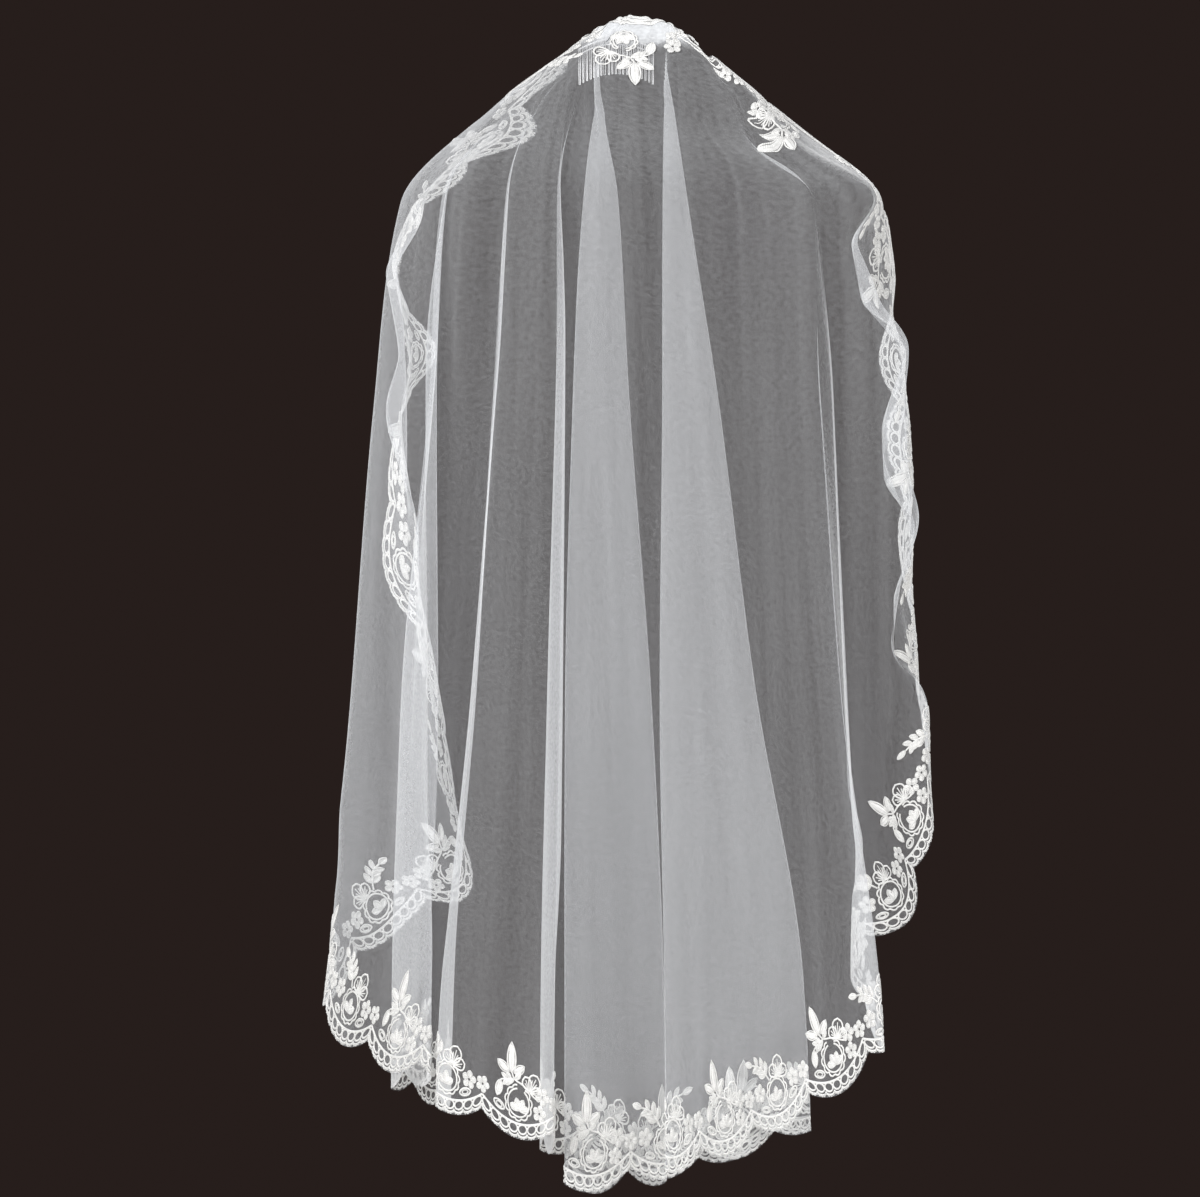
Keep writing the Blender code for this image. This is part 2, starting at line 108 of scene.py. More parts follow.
# the drape, as in its solids
HEIGHTS = (-0.063, -0.142, -0.317, -0.579, -0.842, -1.060)
FORWARD_ROWS = [0, 1, 4]
TURN_SHARE = (0.35, 0.32, 0.6, 0.85, 1.0, 1.0)
SPREAD_HEIGHTS = slice(1, 5)
CLOTH_DOWN = (0.115, 0.28, 0.46, 0.72, 0.985, 1.08)
FOLD_LINES = (
    # name, x at five heights, y at three, turn, low, all in cm
    ("front edge", (-5.6, -15.0, -16.0, -21.0, -20.0), (9.0, 13.5, 19.0), 0, 0),
    ("front border", (-7.8, -17.0, -16.2, -20.8, -20.0), (8.0, 12.0, 17.0), 0, 0),
    ("front fold out", (-9.6, -19.4, -20.6, -22.0, -22.0), (6.4, 9.2, 14.0), 2.4, 0),
    ("front fold in", (-10.4, -17.4, -15.6, -13.6, -12.6), (3.4, 4.6, 8.0), 3.0, 2.0),
    ("left side", (-11.3, -18.9, -21.4, -23.7, -26.4), (0.2, -1.0, -1.0), 3.4, 4.0),
    ("side fold out", (-10.0, -14.6, -15.5, -15.1, -15.4), (-2.5, -5.9, -13.0), -1.2, -0.8),
    ("side fold in", (-9.2, -15.2, -16.6, -19.2, -19.8), (-1.9, -4.6, -0.5), -0.9, -1.0),
    ("left pleat in", (-7.2, -9.3, -10.5, -12.0, -14.0), (-2.8, -6.6, -1.5), 0.7, -3.0),
    ("left pleat out", (-6.6, -9.6, -11.0, -12.8, -15.0), (-3.4, -8.1, -14.6), 0.7, -4.3),
    ("mid pleat out", (-4.2, -5.0, -5.0, -5.0, -5.1), (-3.7, -8.8, -16.0), -0.7, -2.4),
    ("mid pleat in", (-3.6, -5.3, -5.5, -6.1, -6.7), (-3.0, -7.2, -1.5), -0.7, -1.2),
    ("fold 1 in", (-0.95, 0.3, 1.4, 3.5, 4.7), (-2.5, -6.8, -1.0), 0.8, 2.0),
    ("fold 1 out", (-1.85, -2.8, -3.9, -4.8, -5.0), (-3.9, -9.2, -12.5), 0.8, 2.2),
    ("fold 2 in", (5.1, 6.2, 9.0, 12.4, 16.7), (-2.4, -7.2, -7.5), 0.8, -4.4),
    ("fold 2 out", (4.1, 3.8, 3.6, 3.2, 3.5), (-3.9, -9.8, -17.5), 0.9, 0.4),
    ("right wave", (8.0, 11.8, 13.0, 14.6, 15.4), (-2.9, -6.8, -10.5), 0, -1.0),
    ("right pleat out", (10.8, 16.6, 18.0, 19.5, 22.5), (-1.9, -5.6, -15.5), -0.7, -0.4),
    ("right pleat in", (11.0, 17.3, 17.9, 19.1, 20.3), (-1.8, -5.4, -0.5), -0.7, -3.0),
    ("right side", (13.6, 22.8, 26.1, 27.2, 28.2), (-0.8, -2.0, -2.0), -3.0, 0),
    ("right turn", (14.6, 23.5, 25.4, 26.2, 26.5), (1.8, 6.0, 12.0), 0, 0),
    ("right edge", (14.4, 22.2, 22.4, 22.5, 23.0), (3.8, 13.0, 22.0), 0, 0),
)
SIDE_ANGLES = {"left side": -52.0, "right side": 62.0}
BELOW_HEM = 0.3
MOST_LOW = 1.1
DRAPE_STEPS = 12
DOWN_STEPS = 400
PATH_POINTS = 600
LONGEST_SPOKE = 1.2
REACHES = np.linspace(0, LONGEST_SPOKE, DOWN_STEPS + 1)
OUTLINE_POINTS = 3000
SPOKE_SEARCH_STEPS = 40
COMB_SEARCH_STEPS = 60
COMB_SEARCH_RATE = 0.7

# Small creases: where each starts and ends on the flat cloth, as the angle of its spoke in
# degrees and its reach in metres, then its half width and its height in metres.
CREASES = (
    # angle and reach at the top, angle and reach at the hem end, half width, height
    (-20, 0.1, -22, 0.62, 0.006, 0.003),
    (-25, 0.16, -26, 0.7, 0.008, -0.003),
    (-33, 0.12, -31, 0.55, 0.006, 0.003),
    (-37, 0.1, -37.5, 0.8, 0.007, 0.0035),
    (-44, 0.14, -45, 0.6, 0.008, 0.003),
    (-58, 0.2, -60, 0.66, 0.01, -0.0035),
    (-10, 0.1, -12, 0.34, 0.006, 0.002),
    (2, 0.06, 4, 0.22, 0.005, 0.002),
    (13, 0.05, 12, 0.26, 0.005, 0.0025),
    (15, 0.25, 16, 0.92, 0.01, 0.003),
    (31, 0.05, 32, 0.12, 0.004, 0.0022),
    (34, 0.28, 35, 0.86, 0.012, 0.004),
    (50, 0.05, 55, 0.17, 0.004, 0.0026),
    (42, 0.24, 41.5, 0.72, 0.01, -0.0035),
    (50, 0.26, 50.5, 0.8, 0.008, 0.0035),
    (57, 0.3, 57, 0.74, 0.012, 0.0045),
    (64, 0.3, 66, 0.7, 0.009, -0.003),
    # broad, soft waves
    (-13, 0.15, -13.5, 1, 0.022, 0.008),
    (-22.5, 0.18, -23, 1, 0.018, -0.007),
    (-34.5, 0.16, -34, 0.95, 0.02, 0.008),
    (-41, 0.2, -41.5, 0.9, 0.018, -0.008),
    (11, 0.12, 9, 0.95, 0.02, 0.006),
    (38.5, 0.18, 38, 0.98, 0.024, 0.009),
    (46, 0.2, 45.5, 0.96, 0.02, -0.009),
    (53.5, 0.2, 53, 0.9, 0.022, 0.009),
)
CREASE_ENDS = 4
CREASE_NEAREST = 0.05

# Swings of the lace at the open sides: how far each scallop's edge and its inner side stand
# off the drape, to the right and up, and how far its middle bows to the right, in cm.
# Scallops are counted as the edging's are.
LEFT_SWINGS = (
    # scallop, edge right and up, inner side right and up, middle
    (-0.7, 0, 0, 0, 0, 0),
    (0, 1.2, -0.6, 0, 0, 0),
    (1, 1.8, -0.4, 0, 0, 0),
    (2, 0.3, 0.6, -3, 1.2, 0),
    (3, 3.9, 2.2, -2.8, 2.4, -1),
    (4, -0.9, 4, -4.4, 4, 0),
    (5, -3.8, 0.8, -1.4, 0.8, -0.9),
    (6, -2, -0.6, -1, -0.6, 0),
    (7, 0.5, -2, 1.8, -2, 0),
    (8, 4.8, -3, 4.4, -2.6, 0),
    (9, 2.2, 0.5, 0.8, 0, 0),
    (10.5, 0, 0, 0, 0, 0),
)
RIGHT_SWINGS = (
    (34.5, 0, 0, 0, 0, 0),
    (35, 1.6, 0, 1, 0, 0),
    (36, 0.2, 0, -0.8, 0, 0),
    (37, 0, 0, 0.2, 0, 0),
    (37.7, -0.3, -1.2, -2.6, -1, 0.9),
    (38.2, -0.3, -1.2, -2.6, -1, 0.9),
    (39, -0.9, 0.5, -0.2, 0, 0),
    (39.7, -1.6, 3, -2.7, -0.7, 2.3),
    (40.2, -1.6, 3.2, -2.7, -0.7, 2.3),
    (41, -1.3, 2, -0.2, 1, 0.5),
    (41.7, 0.9, 3.2, -3.6, 0.2, 0.4),
    (42.3, 0.9, 3.2, -3.6, 0.2, 0.4),
    (43, 0.3, 0.8, -0.2, 0.2, 0),
    (44, -0.2, 0.6, -1.8, -0.6, 0),
    (44.9, 0, 0, 0, 0, 0),
)
SWING_FADE = 0.05

# small gathers on the crown's ridge: pitch along the crown, height, and their reach
GATHERS = ((0.0061, 0.0006), (0.0037, 0.0003), (0.0143, 0.0004))
GATHER_REACH = (0.006, 0.022, 0.037, 0.047)
GATHER_SHARE = (0.50, 0.66)

# the thick threads that gather it: their rows, how far they lie from the ridge, and their
# waves, as height, run and shift from one row to the next
GATHER_ROWS = 7
GATHER_TOP = -0.009
GATHER_STEP = 0.0021
GATHERED_HALF = 0.039
GATHER_LEAST = 0.0015
GATHER_RISE = 0.0012
GATHER_POINTS = 200
GATHER_WAVES = ((0.0006, 0.0043, 2.4), (0.0005, 0.0017, 1.0))

# the crown's scallops: the middle one with the sprig that faces back, the gathered one beside
# it, and how far the sprig on the scallop before that is moved towards the crown
CROWN_SPRIG = 46
CROWN_SIDE = 45
SHOULDER_SHIFT = 0.030

# the crown's sprig: its middle, its edge, how much its height is drawn together, and its ring
CROWN_SPRIG_X = 0.0070
CROWN_SPRIG_Z = 0.0225
CROWN_SPRIG_FALL = 0.78
CROWN_RING = 0.0118

# the crown's depth: the cells it is measured in, its box in x and z, and where it is tried
DEPTH_CELL = 0.0015
DEPTH_BOX = (-0.060, 0.090, -0.070, 0.024)
DEPTH_ANGLES = np.linspace(-70, 70, 500)
DEPTH_REACHES = np.linspace(0.02, 0.16, 260)

# the lace's cords, and its edge with eyelets and picots
HEAVY_CORD = 0.0023
CORD = 0.0019
FINE_CORD = 0.0012
PICOT_CORD = 0.0008
THREAD_RISE = 0.0009
CORD_STEP = 0.0018
CORD_UV = 0.1
CORD_UV_TURN = 3
EYELETS = 8
EYELET_POINTS = 16
EYELET_HALF = 0.46
LOOP_MIDDLE = 0.0092
LOOP_HALF = 0.0042
EDGE_POINTS = EYELETS * 10 + 1
OUTER_TOP = 0.0052
OUTER_DEPTH = 0.0030
PICOT_OFF = 0.0013
PICOT = 0.0028
PICOT_OUT = 0.0006
PICOT_POINTS = 6

# petals and leaves
PETAL_POINTS = 8
PETAL_ACROSS = np.array([-0.72, -0.36, 0.0, 0.36, 0.72])
PETAL_CROWN = np.array([0.3, 1.0, 0.6, 1.0, 0.3])
PETAL_RISE = 0.0012
PETAL_LEAST = 0.02
PETAL_ROUND = 0.75
# the half width of the painted shade along a petal's midrib, where its satin stitches dip
MIDRIB = 0.0007
OPEN_PETAL_POINTS = 10
OPEN_PETAL_ROUND = 0.62
OPEN_PETAL_POWER = 1.5
VEINS = ((-0.30, 0.66), (0.0, 0.80), (0.30, 0.66))
VEIN_START = 0.12
VEIN_POINTS = 6
VEIN_BOW = 0.10
LEAF_START = 0.25
LEAF_RUN = 0.68
LEAF_LARGEST = 1.05
LEAF_TAPER = 0.25
LEAF_WIDTH = 0.46
LEAF_TURN = math.radians(52)
LEAF_BEND = 0.4

# blossoms and buds: petals, and for one of size 1 where they start, their length and width,
# and the ring in the middle
BLOSSOM_PETALS = 5
BLOSSOM_START = 0.22
BLOSSOM_LENGTH = 0.85
BLOSSOM_WIDTH = 0.72
BLOSSOM_RING = 0.26
BUD_FULLEST = 0.6

# rings and almonds
RING_FRILLS = 11
RING_POINTS = 56
RING_INNER = 0.80
RING_OUTER = 0.88
RING_FRILL = 0.15
RING_ROUND = 0.7
ALMOND_POINTS = 20
ALMOND_WIDTH = 0.24
ALMOND_ROUND = 0.3
ALMOND_CORDS = ((1.0, CORD), (0.55, FINE_CORD))

# Petals of the two motifs: which way each one points from straight in, then its length and
# its width.
ROSE_BUD = ((-0.9, 0.0105, 0.0056), (0.1, 0.0120, 0.0060), (1.0, 0.0110, 0.0062))
ROSE_FLOWER = ((-0.75, 0.0150, 0.0115), (0.25, 0.0185, 0.0140), (1.25, 0.0150, 0.0110))
SPRIG_BUD = tuple((turn, 0.0115, 0.0060) for turn in (-1.15, -0.35, 0.45, 1.25))
SPRIG_FLOWER = ((-0.45, 0.0140, 0.0105), (0.5, 0.0180, 0.0135), (1.5, 0.0140, 0.0105))

# leaves of the tall sprig: place from the motif's middle and in from the edge, turn, length,
# width, bend and cord
SPRIG_LEAVES = (
    (-0.0065, 0.0575, 1.15, 0.0150, 0.0080, -0.3, FINE_CORD),
    (-0.0115, 0.0575, -1.20, 0.0165, 0.0082, 0.3, FINE_CORD),
    (-0.0045, 0.0520, 0.75, 0.0095, 0.0048, 0.0, FINE_CORD),
    (-0.0060, 0.0515, -2.0, 0.0095, 0.0048, 0.0, FINE_CORD),
)

# blossoms: place from the motif's middle and in from the edge, size and turn
ROSE_BLOSSOMS = ((-0.0255, 0.0390, 0.0076, 0.3), (0.0265, 0.0380, 0.0076, 0.1))
SPRIG_BLOSSOMS = ((0.0275, 0.0430, 0.0076, 0.5), (0.0245, 0.0275, 0.0070, 0.2))
GATHERED_BLOSSOMS = (
    (0.0, 0.0215, 0.0066, 0.5),
    (-0.0145, 0.0225, 0.0062, 0.0),
    (0.0145, 0.0230, 0.0062, 0.2),
    (-0.0280, 0.0240, 0.0062, 0.8),
)
NOTCH_BLOSSOM = ((0.0, 0.0385, 0.0072, 0.4),)

# lengths of edging: name, first and last notch, and the node each one stands for
EDGING_LENGTHS = (
    ("left", 0, 11, "edging_left"),
    ("hem", 11, 36, "edging_hem"),
    ("right", 36, 44, "edging_right"),
    ("crown", 44, 48, "edging_crown"),
)

# the fineness of the nets, and the most scallops in a piece of embroidery
MOST_SCALLOPS = 9
NET_ROWS = 130
EDGING_STEP = 0.0028
EDGING_ROWS = 18

# colours, and the share of them that is left where they are darkest, in the net's clouds and in the
# thread's painted shade
TULLE_WHITE = (0.86, 0.88, 0.91)
TULLE_DARKEST = 0.90
THREAD_WHITE = (0.92, 0.915, 0.90)
# the thread's colour in its deepest painted shade, between stitches and on a petal's midrib, as a
# share of its white
THREAD_IN_PAINTED_SHADE = 0.50
WIRE_DARK = (0.50, 0.50, 0.51)
WIRE_BRIGHT = (0.78, 0.78, 0.79)
FLOOR_PALE = (0.72, 0.70, 0.68)
DARK_ROOM = (0.0200, 0.0130, 0.0115)

# the net: how much of it is thread, how far from edge on it is always taken to be, how many
# times closer it is where the crown gathers it, over which heights, and its holes
TULLE_ALPHA = 0.122
EDGE_ON = 0.20
GATHERED = 5.0
GATHERED_HEIGHTS = (-0.012, 0.008)
NET_CELL = 0.0011
THREAD_SHARPNESS = 6
THREAD_RELIEF = 0.0003

# the stitches' painted light and shade: how strongly and how little they whiten the thread, lighter
# on each stitch's crest and darker between stitches, and how much of its white is left in the
# painted shade on a petal's midrib
STITCH_PAINTED_SHADE_CONTRAST = 1.5
STITCH_PAINTED_SHADE_LEAST = 0.15
MIDRIB_PAINTED_SHADE_LEFT = 0.35

# how unevenly close the net is: its long streaks across and along, the point over the crown
# that they run from, its grain, and the shares of both
STREAK = 24.0
STREAK_RUN = 1.3
SPOKE_CENTRE = 0.04
SPOKE_ROUND = 0.01
STREAK_SHARE = 1.1
GRAIN = 290.0
GRAIN_SHARE = 0.9

# the camera, the floor and the lights: name, place, aim, size and watts
VIEW_DISTANCE = 4.0
VIEW_WIDTH = 1.05
VIEW_X = -0.014
VIEW_Z = -0.490
SENSOR = 36.0
FLOOR_Z = -1.60
FLOOR_SIZE = 6.0
LIGHTS = (
    ("front left", (-1.9, -2.6, 0.9), (0, 0, -0.5), (1.6, 1.6), 134),
    ("front right", (2.2, -2.2, 0.2), (0, 0, -0.5), (1.4, 1.8), 62),
    ("behind", (0.4, 2.2, 1.2), (0, 0, -0.4), (1.8, 1.2), 44),
)


# ---- curves ----


def running_length(line):
    """How far along a line each of its points is."""
    return np.concatenate([[0], np.cumsum(np.linalg.norm(np.diff(line, axis=0), axis=1))])


def read_along(at, run, table):
    """A table's rows, read at places along its run."""
    return np.stack([np.interp(at, run, column) for column in table.T], axis=1)


def unit(vectors):
    """Vectors of length 1 that point the same ways."""
    return vectors / np.maximum(np.linalg.norm(vectors, axis=-1, keepdims=True), 1e-12)


def full_turn(count):
    """Even angles round a whole turn."""
    return 2 * math.pi * np.arange(count) / count


def soft_step(share):
    """A share from 0 to 1, eased at both ends."""
    return share * share * (3 - 2 * share)


def bell(value, middle, half):
    """1 at the middle, and falling away on both sides of it."""
    return np.exp(-(((value - middle) / half) ** 2))


def smooth_line(points, steps):
    """A cubic B-spline through rows of control points, with its two ends kept."""
    first = 2 * points[:, :1] - points[:, 1:2]
    last = 2 * points[:, -1:] - points[:, -2:-1]
    p = np.concatenate([first, points, last], axis=1)
    s = np.arange(steps) / steps
    weights = np.stack(
        [(1 - s) ** 3, 3 * s**3 - 6 * s**2 + 4, -3 * s**3 + 3 * s**2 + 3 * s + 1, s**3]
    )
    spans = [
        np.einsum("ks,hkd->hsd", weights / 6, p[:, i : i + 4])
        for i in range(points.shape[1] - 1)
    ]
    return np.concatenate(spans + [points[:, -1:]], axis=1)


def even_slopes(t, v):
    """Slopes of a curve through (t, v) that never overshoots a row of values."""
    step = np.diff(t, axis=1)
    rise = np.diff(v, axis=1) / step
    slope = np.zeros(v.shape)
    slope[:, 0] = rise[:, 0]
    slope[:, -1] = rise[:, -1]
    before, after = rise[:, :-1], rise[:, 1:]
    same = before * after > 0
    w1 = 2 * step[:, 1:] + step[:, :-1]
    w2 = step[:, 1:] + 2 * step[:, :-1]
    mean = w1 / np.where(same, before, 1) + w2 / np.where(same, after, 1)
    slope[:, 1:-1] = np.where(same, (w1 + w2) / mean, 0)
    return slope


def smooth_values(t, v, at):
    """Values at `at` of that curve, a row for each column of cloth."""
    slope = even_slopes(t, v)
    result = np.zeros(at.shape)
    for i in range(t.shape[1] - 1):
        a, b = t[:, i : i + 1], t[:, i + 1 : i + 2]
        h = b - a
        s = (at - a) / h
        value = (
            (1 + 2 * s) * (1 - s) ** 2 * v[:, i : i + 1]
            + s * (1 - s) ** 2 * h * slope[:, i : i + 1]
            + s**2 * (3 - 2 * s) * v[:, i + 1 : i + 2]
            + s**2 * (s - 1) * h * slope[:, i + 1 : i + 2]
        )
        result = np.where(at >= a, value, result)
    return result


def between(table, column, row):
    """Values of a table, such as the drape's paths, between its columns and rows."""
    c = np.minimum(column.astype(int), table.shape[0] - 2)
    r = np.minimum(row.astype(int), table.shape[1] - 2)
    shape = (-1,) + (1,) * (table.ndim - 2)
    u = (column - c).reshape(shape)
    v = (row - r).reshape(shape)
    upper = table[c, r] * (1 - u) + table[c + 1, r] * u
    lower = table[c, r + 1] * (1 - u) + table[c + 1, r + 1] * u
    return upper * (1 - v) + lower * v


def even_line(points):
    """Points at even steps along a smooth curve through a few points."""
    p = np.array(points, dtype=float)
    ends = np.concatenate([2 * p[:1] - p[1:2], p, 2 * p[-1:] - p[-2:-1]])
    t = np.linspace(0, 1, 12, endpoint=False)[:, None]
    spans = []
    for i in range(len(p) - 1):
        a, b, c, d = ends[i : i + 4]
        bend = (2 * a - 5 * b + 4 * c - d) * t**2 + (3 * b - a - 3 * c + d) * t**3
        spans.append(b + ((c - a) * t + bend) / 2)
    line = np.concatenate(spans + [p[-1:]])
    run = running_length(line)
    at = np.linspace(0, run[-1], max(3, round(run[-1] / CORD_STEP) + 1))
    return read_along(at, run, line)


def ring_line(middle, radius, start=0.0, end=360.0):
    """Points round a circle, in degrees from straight in."""
    whole = end - start >= 360
    count = max(8, round(math.radians(end - start) * radius / CORD_STEP))
    turn = np.radians(np.linspace(start, end, count, endpoint=not whole))
    return np.array(middle) + radius * heading_of(turn)


def heading_of(turn):
    """The way that points `turn` from straight in, as (along the edge, in from it)."""
    return np.stack([np.sin(turn), np.cos(turn)], axis=-1)


def aside_of(turn):
    """The way at right angles to that."""
    return np.stack([np.cos(turn), -np.sin(turn)], axis=-1)


def rim(middle, aside, half):
    """The closed line round a petal, half its width to each side of its middle line."""
    off = aside * half[:, None]
    return np.concatenate([middle + off, (middle - off)[-2:0:-1]])


# ---- the drape ----


def fold_controls():
    """The sections' control points (heights, points, [x, y, low]) and their names."""
    z = np.array(HEIGHTS)
    below = BELOW_HEM * (z[5] - z[4]) / (z[4] - z[3])
    points = []
    names = []
    for name, across, forward, turn, low in FOLD_LINES:
        x = np.array(across) / 100
        y = np.interp(-z[:5], -z[FORWARD_ROWS], np.array(forward) / 100)
        x = np.append(x, x[4] + (x[4] - x[3]) * below)
        y = np.append(y, y[4] + (y[4] - y[3]) * below)
        half_turn = turn / 200 * np.array(TURN_SHARE)
        down = np.full(6, low / 100)
        for side in (1, -1) if turn else (1,):
            points.append(np.stack([x, y + side * half_turn, down], axis=1))
            names.append(name)
    return np.stack(points, axis=1), names


class Drape:
    """The hanging cloth: where each point of the flat cloth lies, and which way it faces."""

    def __init__(self):
        controls, names = fold_controls()
        sections = smooth_line(controls, DRAPE_STEPS)
        self.angles = self.spoke_angles(sections, names)
        self.paths = self.hang(sections)
        self.paths = self.paths + self.swings()
        self.paths = self.paths + self.facing() * self.crease_heights()[:, :, None]
        self.faces = self.facing()

    @staticmethod
    def spoke_angles(sections, names):
        """The angle of each column in the flat cloth, by the length of its sections."""
        length = np.linalg.norm(np.diff(sections[:, :, :2], axis=1), axis=2)
        share = length / (math.pi * np.array(CLOTH_DOWN) + CROWN_WIDTH)[:, None]
        run = np.concatenate([[0], np.cumsum(share[SPREAD_HEIGHTS].mean(axis=0))])
        sides = [round((names.index(side) + 0.5) * DRAPE_STEPS) for side in SIDE_ANGLES]
        return np.interp(run, run[[0, *sides, -1]], [-90, *SIDE_ANGLES.values(), 90])

    def hang(self, sections):
        """Points at even steps of cloth down each column."""
        q = self.angles / 90
        count = len(q)
        ridge = np.sign(q) * np.interp(np.abs(q), (0, BACK_SHARE, 1), (0, RIDGE_SHARE, 1))
        lean = LEAN * bell(q, LEAN_MIDDLE, LEAN_HALF)
        start_x = CROWN_MIDDLE_X + CROWN_WIDTH / 2 * ridge - lean
        start_z = CROWN_TOP_Z - CROWN_ARCH * ridge**2
        down = np.column_stack([-start_z, np.tile(-np.array(HEIGHTS), (count, 1))])
        across = np.column_stack([start_x, sections[:, :, 0].T])
        forward = np.column_stack([np.full(count, CROWN_FORWARD), sections[:, :, 1].T])
        at = down[:, :1] + (down[:, -1:] - down[:, :1]) * np.linspace(0, 1, PATH_POINTS)
        begin, full, top = PULL_HEIGHTS
        lift = np.clip(-at - begin, 0, None) * np.interp(-at, (full, top), (1, 0))
        pull = PULL * bell(q, PULL_MIDDLE, PULL_HALF)[:, None] * lift
        x = smooth_values(down, across, at) - pull
        path = np.stack([x, smooth_values(down, forward, at), -at], axis=2)
        path = np.concatenate([self.turned_edge(q, path[:, :1]), path], axis=1)
        result = np.stack([read_along(REACHES, running_length(line), line) for line in path])
        low = sections[4, :, 2][:, None]
        result[:, :, 2] -= low * np.minimum(REACHES / VEIL_LENGTH, MOST_LOW) ** 2
        return result

    @staticmethod
    def turned_edge(q, ridge):
        """Points from the crown's edge up to the ridge, where it is turned over."""
        over = np.maximum(1 - (q / OVER_SHARE) ** 4, 0)[:, None]
        share = np.linspace(1, 0, OVER_POINTS, endpoint=False)[None]
        run = CROWN_OVER * over * share
        start = math.radians(RIDGE_HEADING)
        end = math.radians(EDGE_HEADING)
        turn = np.maximum(start - run / RIDGE_RADIUS, end)
        straight = np.maximum(run - (start - end) * RIDGE_RADIUS, 0)
        edge_x = CROWN_MIDDLE_X + CROWN_WIDTH / 2 * q[:, None]
        x = ridge[:, :, 0] + (edge_x - ridge[:, :, 0]) * over * share
        y = RIDGE_RADIUS * (math.sin(start) - np.sin(turn)) + straight * math.cos(end)
        z = RIDGE_RADIUS * (np.cos(turn) - math.cos(start)) + straight * math.sin(end)
        return np.stack([x, ridge[:, :, 1] + y, ridge[:, :, 2] + z], axis=2)

    def swings(self):
        """How far the lace at the open sides is swung from the drape."""
        flat = spoke_point(self.angles[:, None], REACHES[None])
        scallop, inside = Outline().locate(flat.reshape(-1, 2))
        inner = np.clip(inside / EDGING_DEPTH, 0, 1)
        fade = soft_step(np.clip(1 - (inside - EDGING_DEPTH) / SWING_FADE, 0, 1))
        moved = np.zeros((len(scallop), 3))
        for swings in (LEFT_SWINGS, RIGHT_SWINGS):
            rows = np.array(swings)[None]
            at = np.clip(scallop, rows[0, 0, 0], rows[0, -1, 0])[:, None]
            edge_x, edge_z, inner_x, inner_z, bow = (
                smooth_values(rows[:, :, 0], rows[:, :, k], at)[:, 0] / 100 for k in range(1, 6)
            )
            bow = 4 * bow * inner * (1 - inner)
            moved[:, 0] += (edge_x + (inner_x - edge_x) * inner + bow) * fade
            moved[:, 2] += (edge_z + (inner_z - edge_z) * inner) * fade
        return moved.reshape(*self.paths.shape)

    def facing(self):
        """Which way each point of the hanging cloth faces, away from the wearer."""
        across = np.gradient(self.paths, axis=0)
        down = np.gradient(self.paths, axis=1)
        return unit(np.cross(down, across))

    def crease_heights(self):
        """How far the small creases stand off the cloth."""
        height = np.zeros(self.paths.shape[:2])
        nearest = np.maximum(REACHES, CREASE_NEAREST)
        for top_angle, top, low_angle, low, half_width, rise in CREASES:
            way = (REACHES - top) / (low - top)
            angle = top_angle + (low_angle - top_angle) * way
            ends = soft_step(np.clip(np.minimum(way, 1 - way) * CREASE_ENDS, 0, 1))
            aside = np.radians(self.angles[:, None] - angle[None]) * nearest
            height += rise * bell(aside, 0, half_width) * ends[None]
        share = np.abs(self.angles) / 90
        near = np.interp(REACHES, GATHER_REACH, (0, 1, 1, 0))[None]
        near = near * np.interp(share, GATHER_SHARE, (1, 0))[:, None]
        for pitch, rise in GATHERS:
            turn = 2 * math.pi * CROWN_WIDTH / 2 * self.angles / 90 / pitch
            height += rise * np.sin(turn)[:, None] * near
        return height

    def at(self, table, flat):
        """A table's values, such as the paths, at points of the flat cloth."""
        angle, reach = spoke_of(flat)
        column = np.interp(angle, self.angles, np.arange(len(self.angles)))
        return between(table, column, np.clip(reach / LONGEST_SPOKE, 0, 1) * DOWN_STEPS)

    def place(self, flat, height=0.0):
        """Points of the flat cloth, `height` off its back, as points in space."""
        off = unit(self.at(self.faces, flat)) * np.reshape(height, (-1, 1))
        return self.at(self.paths, flat) + off


def spoke_of(flat):
    """The spoke's angle in degrees, and the reach along it, of points of the flat cloth."""
    x, y = flat[:, 0], np.minimum(flat[:, 1], 0)
    low, high = np.full(len(x), -1.0), np.full(len(x), 1.0)
    for _ in range(SPOKE_SEARCH_STEPS):
        q = (low + high) / 2
        turn = q * math.pi / 2
        off = x - CROWN_WIDTH / 2 * q
        right_of = off * np.cos(turn) + y * np.sin(turn) > 0
        low = np.where(right_of, q, low)
        high = np.where(right_of, high, q)
    return q * 90, np.maximum(off * np.sin(turn) - y * np.cos(turn), 0)


def spoke_point(angle, reach):
    """The flat point at `reach` along the spoke at `angle` degrees."""
    turn = np.radians(angle)
    x = CROWN_WIDTH / 2 * angle / 90 + reach * np.sin(turn)
    return np.stack([x, -reach * np.cos(turn)], axis=-1)


